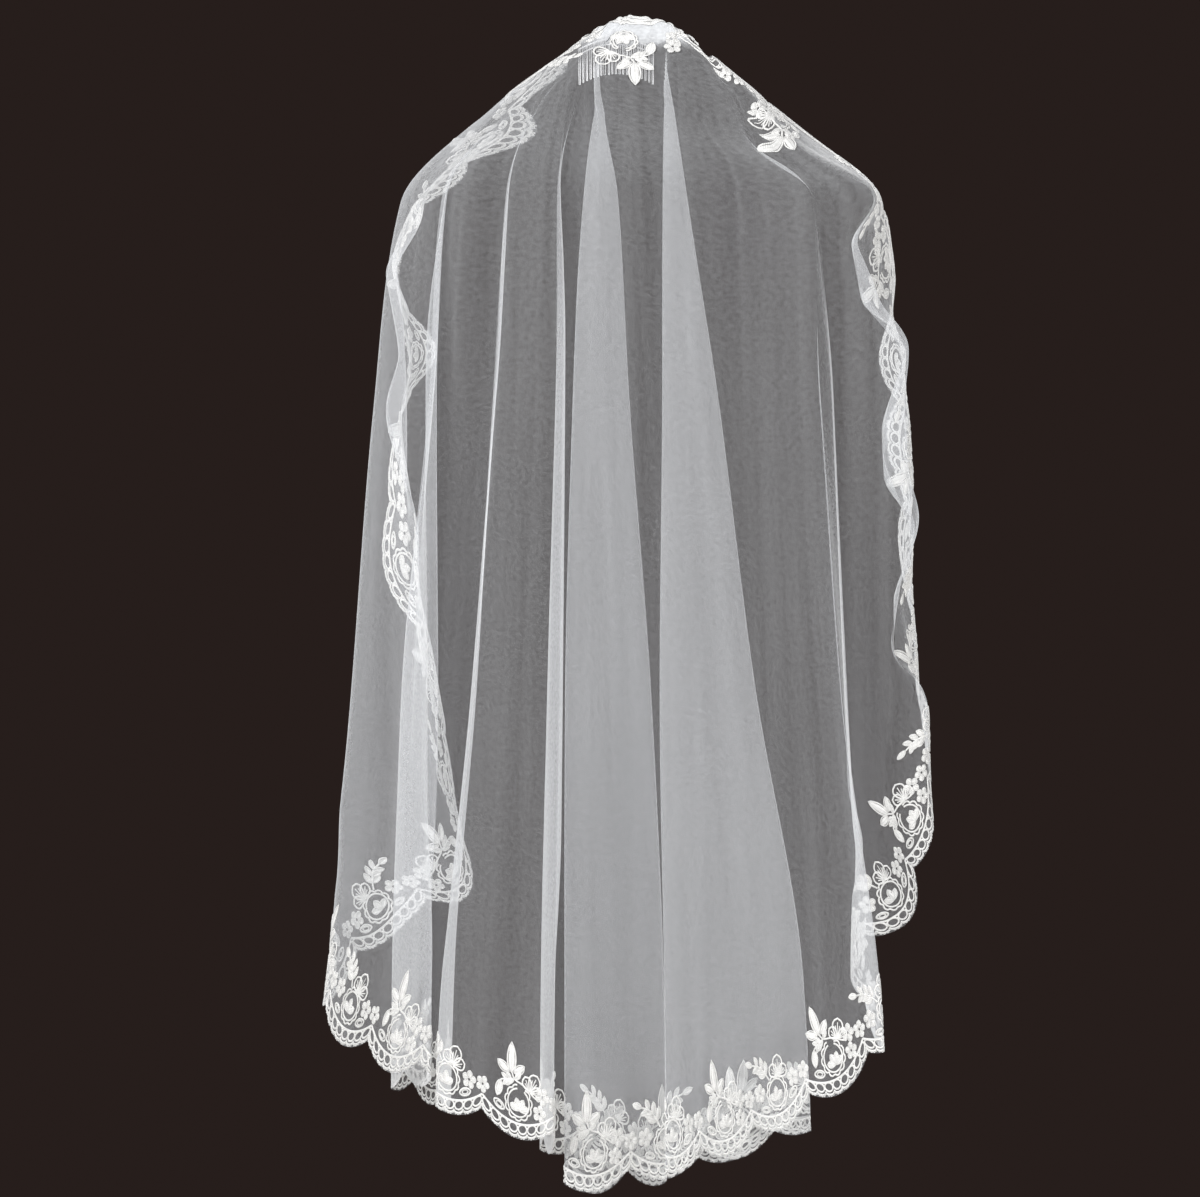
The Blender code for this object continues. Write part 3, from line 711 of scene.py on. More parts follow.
class Outline:
    """The veil's edge, an oval, as arc length from the crown's left end."""

    def __init__(self):
        turn = np.linspace(0, math.pi, OUTLINE_POINTS)
        x = -CROWN_WIDTH / 2 - OVAL_HALF_WIDTH * np.sin(turn)
        left = np.stack([x, OVAL_HALF_LENGTH * (np.cos(turn) - 1)], axis=1)
        ring = np.concatenate([left, left[::-1] * (-1, 1), left[:1]])
        ahead = np.roll(ring[:-1], -1, axis=0) - np.roll(ring[:-1], 1, axis=0)
        inward = unit(np.stack([-ahead[:, 1], ahead[:, 0]], axis=1))
        self.ring = np.concatenate([ring, np.concatenate([inward, inward[:1]])], axis=1)
        self.along = running_length(ring)
        self.length = self.along[-1]
        self.pitch = self.length / SCALLOPS

    def locate(self, flat):
        """The scallop and the distance inside the edge of points of the flat cloth, nearly."""
        x = np.maximum(np.abs(flat[:, 0]) - CROWN_WIDTH / 2, 0) / OVAL_HALF_WIDTH
        y = flat[:, 1] / OVAL_HALF_LENGTH + 1
        out = np.maximum(np.hypot(x, y), 1e-6)
        slope = np.hypot(x / OVAL_HALF_WIDTH, y / OVAL_HALF_LENGTH) / out
        turn = np.arctan2(x, y) / math.pi * (OUTLINE_POINTS - 1)
        down = np.interp(turn, np.arange(OUTLINE_POINTS), self.along[:OUTLINE_POINTS])
        whole = self.along[2 * OUTLINE_POINTS - 1]
        u = np.where(flat[:, 0] > 0, whole - down, down)
        return u / self.pitch - FIRST_NOTCH - 0.5, (1 - out) / slope

    def point(self, u, v):
        """The flat point at arc length u, v inside the edge."""
        place = read_along(np.mod(u, self.length), self.along, self.ring)
        return place[:, :2] + place[:, 2:] * np.reshape(v, (-1, 1))


def scallop_edge(u, pitch):
    """How far the scalloped edge lies inside the oval at arc length u."""
    across = 2 * np.mod(u / pitch - FIRST_NOTCH, 1) - 1
    return SCALLOP_DEPTH * across**2


# ---- meshes ----


def add_object(name, data):
    """A new object in the scene."""
    made = bpy.data.objects.new(name, data)
    bpy.context.scene.collection.objects.link(made)
    return made


def new_piece(name, points, faces, uv, material):
    """A piece from points, faces and a texture place for each point."""
    mesh = bpy.data.meshes.new(name)
    mesh.from_pydata(points.tolist(), [], faces)
    layer = mesh.uv_layers.new(name="cloth")
    corners = np.empty(len(mesh.loops), dtype=np.int32)
    mesh.loops.foreach_get("vertex_index", corners)
    layer.data.foreach_set("uv", uv[corners].astype(np.float32).ravel())
    mesh.materials.append(material)
    mesh.shade_smooth()
    return add_object(name, mesh)


def grid_faces(columns, rows):
    """Faces of a grid of points that runs row by row, `columns` to a row."""
    k = np.arange((rows - 1) * (columns - 1))
    a = k // (columns - 1) * columns + k % (columns - 1)
    return np.stack([a, a + 1, a + 1 + columns, a + columns], axis=1)


def make_tulle(drape, outline, material):
    """The oval of tulle inside the edging, in columns down the spokes."""
    u = np.linspace(0, outline.length, OUTLINE_POINTS, endpoint=False)
    angle, reach = spoke_of(outline.point(u, EDGING_DEPTH))
    start, end = int(np.argmin(angle)), int(np.argmax(angle))
    lower = np.arange(start, end + 1)
    upper = np.concatenate([np.arange(end, len(u)), np.arange(0, start + 1)])[::-1]
    inside = drape.angles[(drape.angles > angle[start]) & (drape.angles < angle[end])]
    columns = np.concatenate([[angle[start]], inside, [angle[end]]])
    top = np.interp(columns, angle[upper], reach[upper])
    low = np.interp(columns, angle[lower], reach[lower])
    share = np.linspace(0, 1, NET_ROWS)[:, None]
    flat = spoke_point(columns[None], top + (low - top) * share).reshape(-1, 2)
    faces = grid_faces(len(columns), NET_ROWS).tolist()
    piece = new_piece("tulle_oval", drape.place(flat), faces, flat, material)
    width = VEIL_WIDTH - 2 * EDGING_DEPTH
    length = VEIL_LENGTH - 2 * EDGING_DEPTH
    area = length * (math.pi / 4 * (width - CROWN_WIDTH) + CROWN_WIDTH)
    return piece, (width, length), area


def make_edging_net(drape, outline, name, first, last, material):
    """The net that a length of lace is worked on, with its scalloped edge."""
    run = (last - first) * outline.pitch
    begin = (first + FIRST_NOTCH) * outline.pitch
    u = np.linspace(begin, begin + run, round(run / EDGING_STEP) + 1)
    start = scallop_edge(u, outline.pitch)
    shares = np.linspace(0, 1, EDGING_ROWS)
    rows = [outline.point(u, start + (EDGING_DEPTH - start) * share) for share in shares]
    flat = np.concatenate(rows)
    faces = grid_faces(len(u), EDGING_ROWS).tolist()
    piece = new_piece("net_" + name, drape.place(flat), faces, flat, material)
    return piece, (run, EDGING_DEPTH), run * (EDGING_DEPTH - SCALLOP_DEPTH / 3)


# ---- the embroidery ----


class Embroidery:
    """Threads laid on the edging, as points (along the edge, in from it, off the net)."""

    def __init__(self):
        self.points = []
        self.uv = []
        self.faces = []
        self.count = 0

    def add(self, flat, up, along, around, faces):
        """Adds a grid of points with their heights, texture places and faces."""
        self.points.append(np.dstack([flat, up]).reshape(-1, 3))
        self.uv.append(np.dstack([np.broadcast_to(along, up.shape), around]).reshape(-1, 2))
        self.faces.append(faces.reshape(-1, 4) + self.count)
        self.count += up.size

    def cord(self, line, width, rise=THREAD_RISE, closed=False, sides=5):
        """A round thread along a line."""
        if closed:
            ahead = np.roll(line, -1, axis=0) - np.roll(line, 1, axis=0)
        else:
            ahead = np.gradient(line, axis=0)
        aside = unit(np.stack([-ahead[:, 1], ahead[:, 0]], axis=1))
        corner = np.arange(sides)
        turn = full_turn(sides)
        flat = line[:, None] + np.cos(turn)[None, :, None] * aside[:, None] * width / 2
        up = np.broadcast_to(rise * (0.5 + 0.5 * np.sin(turn)), flat.shape[:2])
        around = np.broadcast_to(CORD_UV + corner / sides * width * CORD_UV_TURN, up.shape)
        count = len(line)
        ring = np.arange(count if closed else count - 1)[:, None]
        here, ahead = ring * sides, (ring + 1) % count * sides
        other = (corner + 1) % sides
        faces = np.stack([here + corner, here + other, ahead + other, ahead + corner], axis=2)
        self.add(flat, up, running_length(line)[:, None], around, faces)

    def petal(self, base, turn, length, width, fullest=0.5, bend=0.0, outline=FINE_CORD):
        """A satin-stitched petal or leaf with a cord round it. turn is from straight in."""
        t = np.linspace(0, 1, PETAL_POINTS)
        power = math.log(0.5) / math.log(fullest)
        half = width / 2 * np.sin(math.pi * t**power) ** PETAL_ROUND
        heading = turn + bend * t
        steps = heading_of(heading[:-1]) * length / (PETAL_POINTS - 1)
        middle = base + np.concatenate([[[0, 0]], np.cumsum(steps, axis=0)])
        aside = aside_of(heading)
        across = half[:, None] * PETAL_ACROSS
        fullness = np.sqrt(np.maximum(half / (width / 2), PETAL_LEAST))[:, None]
        flat = middle[:, None] + aside[:, None] * across[:, :, None]
        faces = grid_faces(len(PETAL_ACROSS), PETAL_POINTS)
        up = PETAL_RISE * PETAL_CROWN * fullness
        self.add(flat, up, (t * length)[:, None], np.abs(across), faces)
        self.cord(rim(middle, aside, half), outline, closed=True, sides=4)

    def build(self, name, lay, material):
        """The threads as one piece. lay turns their points into points in space."""
        faces = np.concatenate(self.faces)[:, ::-1].tolist()
        uv = np.concatenate(self.uv)
        return new_piece(name, lay(np.concatenate(self.points)), faces, uv, material)


def back_depth(drape):
    """How far back the crown's cloth reaches, on a grid of x and z."""
    left, right, low, high = DEPTH_BOX
    count = (round((right - left) / DEPTH_CELL), round((high - low) / DEPTH_CELL))
    angle, reach = np.meshgrid(DEPTH_ANGLES, DEPTH_REACHES)
    place = drape.place(spoke_point(angle.ravel(), reach.ravel()))
    cell = ((place[:, [0, 2]] - (left, low)) / DEPTH_CELL).astype(int)
    inside = ((cell >= 0) & (cell < count)).all(axis=1)
    depth = np.full(count, np.inf)
    np.minimum.at(depth, tuple(cell[inside].T), place[inside, 1])
    while np.isinf(depth).any():
        around = np.pad(depth, 1, mode="edge")
        sides = (around[:-2, 1:-1], around[2:, 1:-1], around[1:-1, :-2], around[1:-1, 2:])
        depth = np.where(np.isinf(depth), np.minimum.reduce(sides), depth)
    return depth


def lay_on_crown(depth, points):
    """Embroidery points laid on the back of the crown, as points in space."""
    x = CROWN_SPRIG_X - points[:, 0]
    z = CROWN_SPRIG_Z - CROWN_SPRIG_FALL * points[:, 1]
    column = np.clip((x - DEPTH_BOX[0]) / DEPTH_CELL - 0.5, 0, depth.shape[0] - 1)
    row = np.clip((z - DEPTH_BOX[2]) / DEPTH_CELL - 0.5, 0, depth.shape[1] - 1)
    y = between(depth, column, row)
    return np.stack([x, y - THREAD_RISE - points[:, 2], z], axis=1)


def edge_line(start, pitch, share, inside):
    """Points along a scallop, some way inside its edge."""
    u = start + np.clip(share, 1e-6, 1 - 1e-6) * pitch
    return np.stack([u, scallop_edge(u, pitch) + inside], axis=1)


def eyelet_lobes(share):
    """How far the outer cord bows out over the eyelets, from 0 to 1."""
    return np.sqrt(np.maximum(1 - (2 * np.mod(EYELETS * share, 1) - 1) ** 2, 0))


def sew_edge(work, start, pitch):
    """The scalloped edge: an inner cord, a row of eyelets, an outer cord and picots."""
    share = np.linspace(0, 1, EDGE_POINTS)
    work.cord(edge_line(start, pitch, share, LOOP_MIDDLE + LOOP_HALF), HEAVY_CORD)
    turn = full_turn(EYELET_POINTS)
    for k in range(EYELETS):
        across = (k + 0.5 + EYELET_HALF * np.cos(turn)) / EYELETS
        loop = edge_line(start, pitch, across, LOOP_MIDDLE + LOOP_HALF * np.sin(turn))
        work.cord(loop, CORD, closed=True)
    outer = OUTER_TOP - OUTER_DEPTH * eyelet_lobes(share)
    work.cord(edge_line(start, pitch, share, outer), CORD, sides=4)
    picots = round(pitch / PICOT)
    share = np.linspace(0, 1, picots * PICOT_POINTS + 1)
    loops = PICOT_OUT * np.cos(2 * math.pi * share * picots)
    outer = OUTER_TOP - PICOT_OFF - OUTER_DEPTH * eyelet_lobes(share) + loops
    work.cord(edge_line(start, pitch, share, outer), PICOT_CORD, sides=3)


def sew_blossoms(work, x, blossoms):
    """Five-petal blossoms with an eyelet in the middle of each."""
    for aside, y, size, turn in blossoms:
        middle = np.array((x + aside, y))
        for heading in turn + full_turn(BLOSSOM_PETALS):
            base = middle + BLOSSOM_START * size * heading_of(heading)
            length, width = BLOSSOM_LENGTH * size, BLOSSOM_WIDTH * size
            work.petal(base, heading, length, width, fullest=BUD_FULLEST)
        work.cord(ring_line(middle, BLOSSOM_RING * size), FINE_CORD, closed=True, sides=4)


def sew_bud(work, x, y, petals):
    """Small petals that fan out from one point."""
    for turn, length, width in petals:
        work.petal((x, y), turn, length, width, fullest=BUD_FULLEST)


def sew_open_flower(work, x, y, petals):
    """Large petals: each a heavy outline, with veins that fan out inside it."""
    base = np.array((x, y))
    t = np.linspace(0, 1, OPEN_PETAL_POINTS)
    for turn, length, width in petals:
        half = width / 2 * np.sin(math.pi * t**OPEN_PETAL_POWER) ** OPEN_PETAL_ROUND
        aside = aside_of(turn)
        middle = base + heading_of(turn) * (t * length)[:, None]
        work.cord(rim(middle, aside, half), CORD, closed=True)
        for lean, reach in VEINS:
            steps = np.linspace(VEIN_START, reach, VEIN_POINTS)[:, None]
            bow = aside * lean * VEIN_BOW * length * np.sin(math.pi * steps)
            vein = base + heading_of(turn + lean) * steps * length - bow
            work.cord(vein, FINE_CORD, sides=4)


def sew_sprig(work, line, leaf, pairs, tip=True):
    """A curved stem with pairs of leaves and one at its tip."""
    stem = even_line(line)
    work.cord(stem, CORD)
    last = len(stem) - 1
    for k in range(pairs):
        at = round((LEAF_START + LEAF_RUN * k / pairs) * last)
        heading = math.atan2(*(stem[min(at + 1, last)] - stem[max(at - 1, 0)]))
        size = leaf * (LEAF_LARGEST - LEAF_TAPER * k / pairs)
        for side in (1, -1):
            turn = heading + side * LEAF_TURN
            work.petal(stem[at], turn, size, LEAF_WIDTH * size, bend=-side * LEAF_BEND)
    if tip:
        work.petal(stem[-1], math.atan2(*(stem[-1] - stem[-2])), leaf, LEAF_WIDTH * leaf)


def sew_almond(work, x, y, turn, length):
    """A small almond of cord with a second cord inside it."""
    t = full_turn(ALMOND_POINTS)[:, None]
    along = length / 2 * np.cos(t) * heading_of(turn)
    bow = length * ALMOND_WIDTH * np.sin(t) * np.abs(np.sin(t)) ** ALMOND_ROUND
    for share, width in ALMOND_CORDS:
        ring = (x, y) + share * (along + bow * aside_of(turn))
        work.cord(ring, width, closed=True, sides=4)


def sew_ring(work, x, y, size, opening=0.0):
    """A ring of two cords, the outer one frilled. opening leaves a gap in it, in degrees."""
    end = 360.0 - opening / 4
    inner = ring_line((x, y), RING_INNER * size, opening, end)
    work.cord(inner, CORD, closed=not opening)
    turn = np.radians(np.linspace(opening, end, RING_POINTS, endpoint=bool(opening)))
    frill = RING_FRILL * np.abs(np.sin(turn * RING_FRILLS / 2)) ** RING_ROUND
    outer = (x, y) + size * (RING_OUTER + frill)[:, None] * heading_of(turn)
    work.cord(outer, CORD, closed=not opening)


def sew_low_rose(work, x):
    """The lower motif: a ring rose with a half flower and one side sprig."""
    sew_ring(work, x, 0.0325, 0.0150)
    sew_bud(work, x - 0.002, 0.0265, ROSE_BUD)
    sew_open_flower(work, x + 0.0060, 0.0455, ROSE_FLOWER)
    sprig = ((x - 0.008, 0.0460), (x - 0.013, 0.0540), (x - 0.020, 0.0610), (x - 0.030, 0.0650))
    sew_sprig(work, sprig, 0.0112, 3)
    sew_blossoms(work, x, ROSE_BLOSSOMS)
    sew_almond(work, x + 0.0225, 0.0255, 1.15, 0.0135)
    sew_almond(work, x - 0.0200, 0.0230, -1.25, 0.0110)


def sew_tall_sprig(work, x, ring=0.0155, beside=True):
    """The upper motif: a tall leaf with its side leaves over an open ring."""
    sew_ring(work, x, 0.0320, ring, opening=30.0)
    sew_bud(work, x + 0.001, 0.0250, SPRIG_BUD)
    stem = ((x + 0.013, 0.045), (x + 0.004, 0.0490), (x - 0.005, 0.0520), (x - 0.009, 0.0580))
    work.cord(even_line(stem), CORD)
    work.petal((x - 0.009, 0.0570), -0.03, 0.0270, 0.0102, fullest=0.45, outline=CORD)
    for aside, y, turn, length, width, bend, cord in SPRIG_LEAVES:
        work.petal((x + aside, y), turn, length, width, bend=bend, outline=cord)
    sew_open_flower(work, x + 0.0130, 0.0440, SPRIG_FLOWER)
    branch = ((x - 0.006, 0.0510), (x - 0.014, 0.0505), (x - 0.021, 0.0485))
    sew_sprig(work, branch, 0.0080, 2, tip=False)
    work.petal((x - 0.0215, 0.0480), math.pi + 0.25, 0.0150, 0.0074, outline=CORD)
    if beside:
        sew_blossoms(work, x, SPRIG_BLOSSOMS)
        sew_almond(work, x - 0.0225, 0.0260, -1.15, 0.0135)


def lay_on_edging(drape, outline, points):
    """Embroidery points laid on the edging's net, as points in space."""
    return drape.place(outline.point(points[:, 0], points[:, 1]), points[:, 2])


def make_lace(drape, outline, name, first, last, material):
    """The embroidery of one length of edging."""
    pitch = outline.pitch
    work = Embroidery()
    for k in range(first, last):
        start = (k + FIRST_NOTCH) * pitch
        sew_edge(work, start, pitch)
        middle = start + pitch / 2
        if k == CROWN_SIDE:
            sew_blossoms(work, middle, GATHERED_BLOSSOMS)
        elif k % 2:
            sew_low_rose(work, middle)
        elif k != CROWN_SPRIG:
            sew_tall_sprig(work, middle + (SHOULDER_SHIFT if k == CROWN_SIDE - 1 else 0))
        sew_blossoms(work, start, NOTCH_BLOSSOM)
    return work.build("lace_" + name, lambda points: lay_on_edging(drape, outline, points), material)


def make_crown_sprig(drape, outline, material):
    """The tall sprig in the middle of the crown, laid flat on the cloth's back."""
    work = Embroidery()
    sew_tall_sprig(work, 0.0, ring=CROWN_RING, beside=False)
    sew_blossoms(work, -outline.pitch / 2, NOTCH_BLOSSOM)
    depth = back_depth(drape)
    return work.build("lace_crown_sprig", lambda points: lay_on_crown(depth, points), material)


def make_crown_gathering(drape, outline, material):
    """Rows of thick thread along the ridge, which gather the crown."""
    work = Embroidery()
    run = np.linspace(-GATHERED_HALF, GATHERED_HALF, GATHER_POINTS)
    u = outline.length - CROWN_WIDTH / 2 + run
    ridge = CROWN_OVER * np.maximum(1 - (2 * run / CROWN_WIDTH / OVER_SHARE) ** 4, 0)
    for row in range(GATHER_ROWS):
        wave = sum(rise * np.sin(run / long + shift * row) for rise, long, shift in GATHER_WAVES)
        inside = np.maximum(ridge + GATHER_TOP + GATHER_STEP * row, GATHER_LEAST) + wave
        work.cord(np.stack([u, inside], axis=1), HEAVY_CORD, rise=GATHER_RISE)
    name = "lace_crown_gathering"
    return work.build(name, lambda points: lay_on_edging(drape, outline, points), material)


# ---- the comb ----


def cloth_at(drape, x, z):
    """The flat points of the cloth that hang at x and z near the comb."""
    flat = np.stack([x - CROWN_MIDDLE_X, z - CROWN_TOP_Z - CROWN_OVER], axis=1)
    for _ in range(COMB_SEARCH_STEPS):
        place = drape.place(flat)
        flat = flat + np.stack([x - place[:, 0], z - place[:, 2]], axis=1) * COMB_SEARCH_RATE
        flat[:, 1] = np.minimum(flat[:, 1], -CROWN_OVER)
    return flat


def select_only(pieces):
    """Selects these pieces alone, with the first one active."""
    bpy.ops.object.select_all(action="DESELECT")
    for piece in pieces:
        piece.select_set(True)
    bpy.context.view_layer.objects.active = pieces[0]


def make_wire(name, points, radius, material, closed=False):
    """A round wire along points, as a mesh."""
    curve = bpy.data.curves.new(name, "CURVE")
    curve.dimensions = "3D"
    curve.bevel_depth = radius
    curve.bevel_resolution = 2
    curve.use_fill_caps = True
    spline = curve.splines.new("POLY")
    spline.points.add(len(points) - 1)
    for point, place in zip(spline.points, points):
        point.co = (*map(float, place), 1.0)
    spline.use_cyclic_u = closed
    wire = add_object(name, curve)
    select_only([wire])
    bpy.ops.object.convert(target="MESH")
    wire.data.materials.clear()
    wire.data.materials.append(material)
    wire.data.shade_smooth()
    return wire


def join_pieces(name, pieces):
    """Joins pieces into the first one."""
    select_only(pieces)
    bpy.ops.object.join()
    pieces[0].name = name
    pieces[0].data.name = name
    return pieces[0]


def comb_rows(drape):
    """The comb's bar at the sides of its teeth: top row, bottom row."""
    pitch = COMB_WIDTH / COMB_TEETH
    middles = (np.arange(COMB_TEETH) + 0.5) * pitch - COMB_WIDTH / 2
    x = np.sort(np.concatenate([middles - TOOTH_WIDTH / 2, middles + TOOTH_WIDTH / 2]))
    top = COMB_TOP_Z - COMB_ARCH * (x / (COMB_WIDTH / 2)) ** 2
    off = -COMB_GAP - COMB_THICKNESS / 2
    return [drape.place(cloth_at(drape, x, z), off) for z in (top, top - COMB_BAR)]


def make_comb(drape, metal, thread):
    """The comb: two wires for its bar, looped wire teeth, and the thread that holds it."""
    top, low = comb_rows(drape)
    wires = [make_wire("bar", row, radius, metal) for row, radius in zip((top, low), BAR_RADII)]
    turn = np.linspace(0, math.pi, TOOTH_LOOP_POINTS)
    arc = np.stack([-np.cos(turn), 0 * turn, -np.sin(turn)], axis=1)
    for a in range(0, 2 * COMB_TEETH, 2):
        b = a + 1
        tip = (low[a] + low[b]) / 2 - (0, 0, TOOTH_LENGTH)
        loop = tip + arc * (low[b] - low[a])[0] / 2 * TOOTH_LOOP_SHARE
        wire = [top[a], low[a], *loop, low[b], top[b]]
        wires.append(make_wire("tooth", wire, TOOTH_RADIUS, metal))
    comb = join_pieces("comb_wires", wires)
    turn = full_turn(STITCH_POINTS)
    ring = np.stack([np.sin(turn), np.cos(turn), np.sin(turn)], axis=1) * STITCH_HALVES
    stitches = []
    for k in range(1, len(top) - 1, STITCH_EVERY):
        middle = (top[k] + top[k - 1]) / 2 - (0, 0, STITCH_DOWN)
        stitches.append(make_wire("stitch", middle + ring, STITCH_RADIUS, thread, closed=True))
    return comb, join_pieces("comb_stitches", stitches)


# ---- materials ----


def new_group(name, inputs, outputs):
    """A node group of numbers, with its inputs' names and values and its outputs' names."""
    group = bpy.data.node_groups.new(name, "ShaderNodeTree")
    for label, value in inputs.items():
        socket = group.interface.new_socket(label, in_out="INPUT", socket_type="NodeSocketFloat")
        socket.default_value = value
    for label in outputs:
        group.interface.new_socket(label, in_out="OUTPUT", socket_type="NodeSocketFloat")
    return group, group.nodes.new("NodeGroupInput"), group.nodes.new("NodeGroupOutput")


def give(tree, socket, value):
    """Gives a socket its value, or links it to the output that feeds it."""
    if isinstance(value, bpy.types.NodeSocket):
        tree.links.new(value, socket)
    else:
        socket.default_value = value


def fill(tree, made, **values):
    """Gives a node its settings, and its sockets their values or links."""
    for key, value in values.items():
        label = key.replace("_", " ")
        if label in made.inputs:
            give(tree, made.inputs[label], value)
        else:
            setattr(made, key, value)
    return made


def node(tree, kind, **values):
    """A new shader node, filled in."""
    return fill(tree, tree.nodes.new("ShaderNode" + kind), **values)


def maths(tree, operation, *values):
    """A maths node on links or numbers, and its output."""
    made = node(tree, "Math", operation=operation)
    for socket, value in zip(made.inputs, values):
        give(tree, socket, value)
    return made.outputs[0]


def noise(tree, place, **values):
    """A cloudy number over the surface."""
    return node(tree, "TexNoise", Vector=place, **values).outputs["Fac"]


def flat_place(tree):
    """The place on the flat cloth, whole, across and up."""
    place = node(tree, "UVMap", uv_map="cloth").outputs[0]
    split = node(tree, "SeparateXYZ", Vector=place)
    return place, split.outputs[0], split.outputs[1]


def object_place(tree):
    """The place on the object."""
    return node(tree, "TexCoord").outputs["Object"]


def net_weave_group():
    """Net: a mesh of fine threads from three sets of lines, slow clouds, and how close it is."""
    group, given, out = new_group(
        "net weave", {"Cell": NET_CELL}, ("Thread", "Cloud", "Closeness")
    )
    place, x, y = flat_place(group)
    lines = None
    for angle in (0, 60, 120):
        right = maths(group, "MULTIPLY", x, math.cos(math.radians(angle)))
        up = maths(group, "MULTIPLY", y, math.sin(math.radians(angle)))
        turn = maths(group, "DIVIDE", maths(group, "ADD", right, up), given.outputs["Cell"])
        wave = maths(group, "COSINE", maths(group, "MULTIPLY", turn, 2 * math.pi))
        line = maths(group, "POWER", maths(group, "ABSOLUTE", wave), THREAD_SHARPNESS)
        lines = line if lines is None else maths(group, "MAXIMUM", lines, line)
    cloud = noise(group, place, Scale=9.0, Detail=3.0, Roughness=0.55)
    angle = maths(group, "ARCTAN2", x, maths(group, "SUBTRACT", SPOKE_CENTRE, y))
    far = maths(group, "SQRT", maths(group, "ADD", maths(group, "POWER", y, 2.0), SPOKE_ROUND))
    angle = maths(group, "MULTIPLY", angle, STREAK)
    far = maths(group, "MULTIPLY", far, STREAK_RUN)
    longways = node(group, "CombineXYZ", X=angle, Y=far).outputs[0]
    streak = noise(group, longways, Scale=1.0, Detail=3.0, Roughness=0.6)
    grain = noise(group, place, Scale=GRAIN, Detail=1.0)
    streak = maths(group, "MULTIPLY", streak, STREAK_SHARE)
    closeness = maths(group, "ADD", streak, maths(group, "MULTIPLY", grain, GRAIN_SHARE))
    closeness = maths(group, "ADD", closeness, 1 - (STREAK_SHARE + GRAIN_SHARE) / 2)
    fill(group, out, Thread=lines, Cloud=cloud, Closeness=closeness)
    return group


def thread_twist_group():
    """Thread: slanted stitches along a cord or across a petal, small unevenness, and the share
    outside a petal's midrib, which the thread's material uses for painted shade.
    """
    group, given, out = new_group(
        "thread twist",
        {"Stitch": 0.0009, "Slant": 0.8},
        ("Stitches", "Uneven", "Beside Midrib"),
    )
    _, along, across = flat_place(group)
    along = maths(group, "ADD", along, maths(group, "MULTIPLY", across, given.outputs["Slant"]))
    turn = maths(group, "DIVIDE", along, given.outputs["Stitch"])
    wave = maths(group, "SINE", maths(group, "MULTIPLY", turn, 2 * math.pi))
    soft = maths(group, "ADD", maths(group, "MULTIPLY", wave, 0.5), 0.5)
    # the share outside a petal's midrib, used for the painted shade in the midrib's groove
    beside = maths(group, "MINIMUM", maths(group, "DIVIDE", across, MIDRIB), 1.0)
    uneven = noise(group, object_place(group), Scale=260.0, Detail=2.0)
    fill(group, out, Stitches=soft, Uneven=uneven, Beside_Midrib=beside)
    return group


def new_material(name, **values):
    """A material whose Principled shader has these plain values."""
    material = bpy.data.materials.new(name)
    material.use_nodes = True
    tree = material.node_tree
    return material, tree, fill(tree, tree.nodes["Principled BSDF"], **values)


def colour_between(tree, share, dark, light):
    """A colour from dark to light, by a share."""
    mix = node(tree, "Mix", data_type="RGBA", A=(*dark, 1), B=(*light, 1), Factor=share)
    return mix.outputs["Result"]


def relief(tree, height, strength):
    """The normal of a surface with threads this high."""
    bump = node(tree, "Bump", Strength=strength, Distance=THREAD_RELIEF, Height=height)
    return bump.outputs["Normal"]


def tulle_material(name, weave):
    """Sheer net: its threads close up where it turns edge on, and where the crown gathers it."""
    material, tree, shader = new_material(
        name, Roughness=0.55, Sheen_Weight=0.5, Sheen_Roughness=0.35
    )
    height = node(tree, "SeparateXYZ", Vector=object_place(tree)).outputs[2]
    low, high = GATHERED_HEIGHTS
    gathered = node(tree, "MapRange", interpolation_type="SMOOTHSTEP", Value=height)
    fill(tree, gathered, From_Min=low, From_Max=high, To_Min=1, To_Max=GATHERED)
    turned = node(tree, "LayerWeight", Blend=0.5).outputs["Facing"]
    upright = maths(tree, "MAXIMUM", maths(tree, "SUBTRACT", 1.0, turned), EDGE_ON)
    net = node(tree, "Group", node_tree=weave)
    layers = maths(tree, "MULTIPLY", gathered.outputs["Result"], net.outputs["Closeness"])
    layers = maths(tree, "DIVIDE", layers, upright)
    clear = maths(tree, "POWER", 1.0 - TULLE_ALPHA, layers)
    threads = maths(tree, "SUBTRACT", 1.0, clear)
    dark = tuple(TULLE_DARKEST * c for c in TULLE_WHITE)
    colour = colour_between(tree, net.outputs["Cloud"], dark, TULLE_WHITE)
    normal = relief(tree, net.outputs["Thread"], 0.35)
    fill(tree, shader, Alpha=threads, Base_Color=colour, Normal=normal)
    return material


def thread_material(name, twist, stitch, slant, roughness):
    """White cotton thread, in slanted stitches, with painted shade between the stitches and along a
    petal's midrib.
    """
    material, tree, shader = new_material(
        name, Roughness=roughness, Sheen_Weight=0.4, Sheen_Roughness=0.4
    )
    stitches = node(tree, "Group", node_tree=twist, Stitch=stitch, Slant=slant)
    # painted light and shade: lighter on each stitch's crest and darker between stitches, made
    # uneven by random tone
    share = maths(tree, "MULTIPLY", stitches.outputs["Stitches"], stitches.outputs["Uneven"])
    share = maths(tree, "ADD", maths(tree, "MULTIPLY", share, STITCH_PAINTED_SHADE_CONTRAST), STITCH_PAINTED_SHADE_LEAST)
    # painted shade along a petal's midrib, where its satin stitches dip
    beside = maths(tree, "MULTIPLY", stitches.outputs["Beside Midrib"], 1 - MIDRIB_PAINTED_SHADE_LEFT)
    share = maths(tree, "MULTIPLY", share, maths(tree, "ADD", beside, MIDRIB_PAINTED_SHADE_LEFT))
    dark = tuple(THREAD_IN_PAINTED_SHADE * c for c in THREAD_WHITE)
    colour = colour_between(tree, share, dark, THREAD_WHITE)
    normal = relief(tree, stitches.outputs["Stitches"], 0.6)
    fill(tree, shader, Base_Color=colour, Normal=normal)
    return material


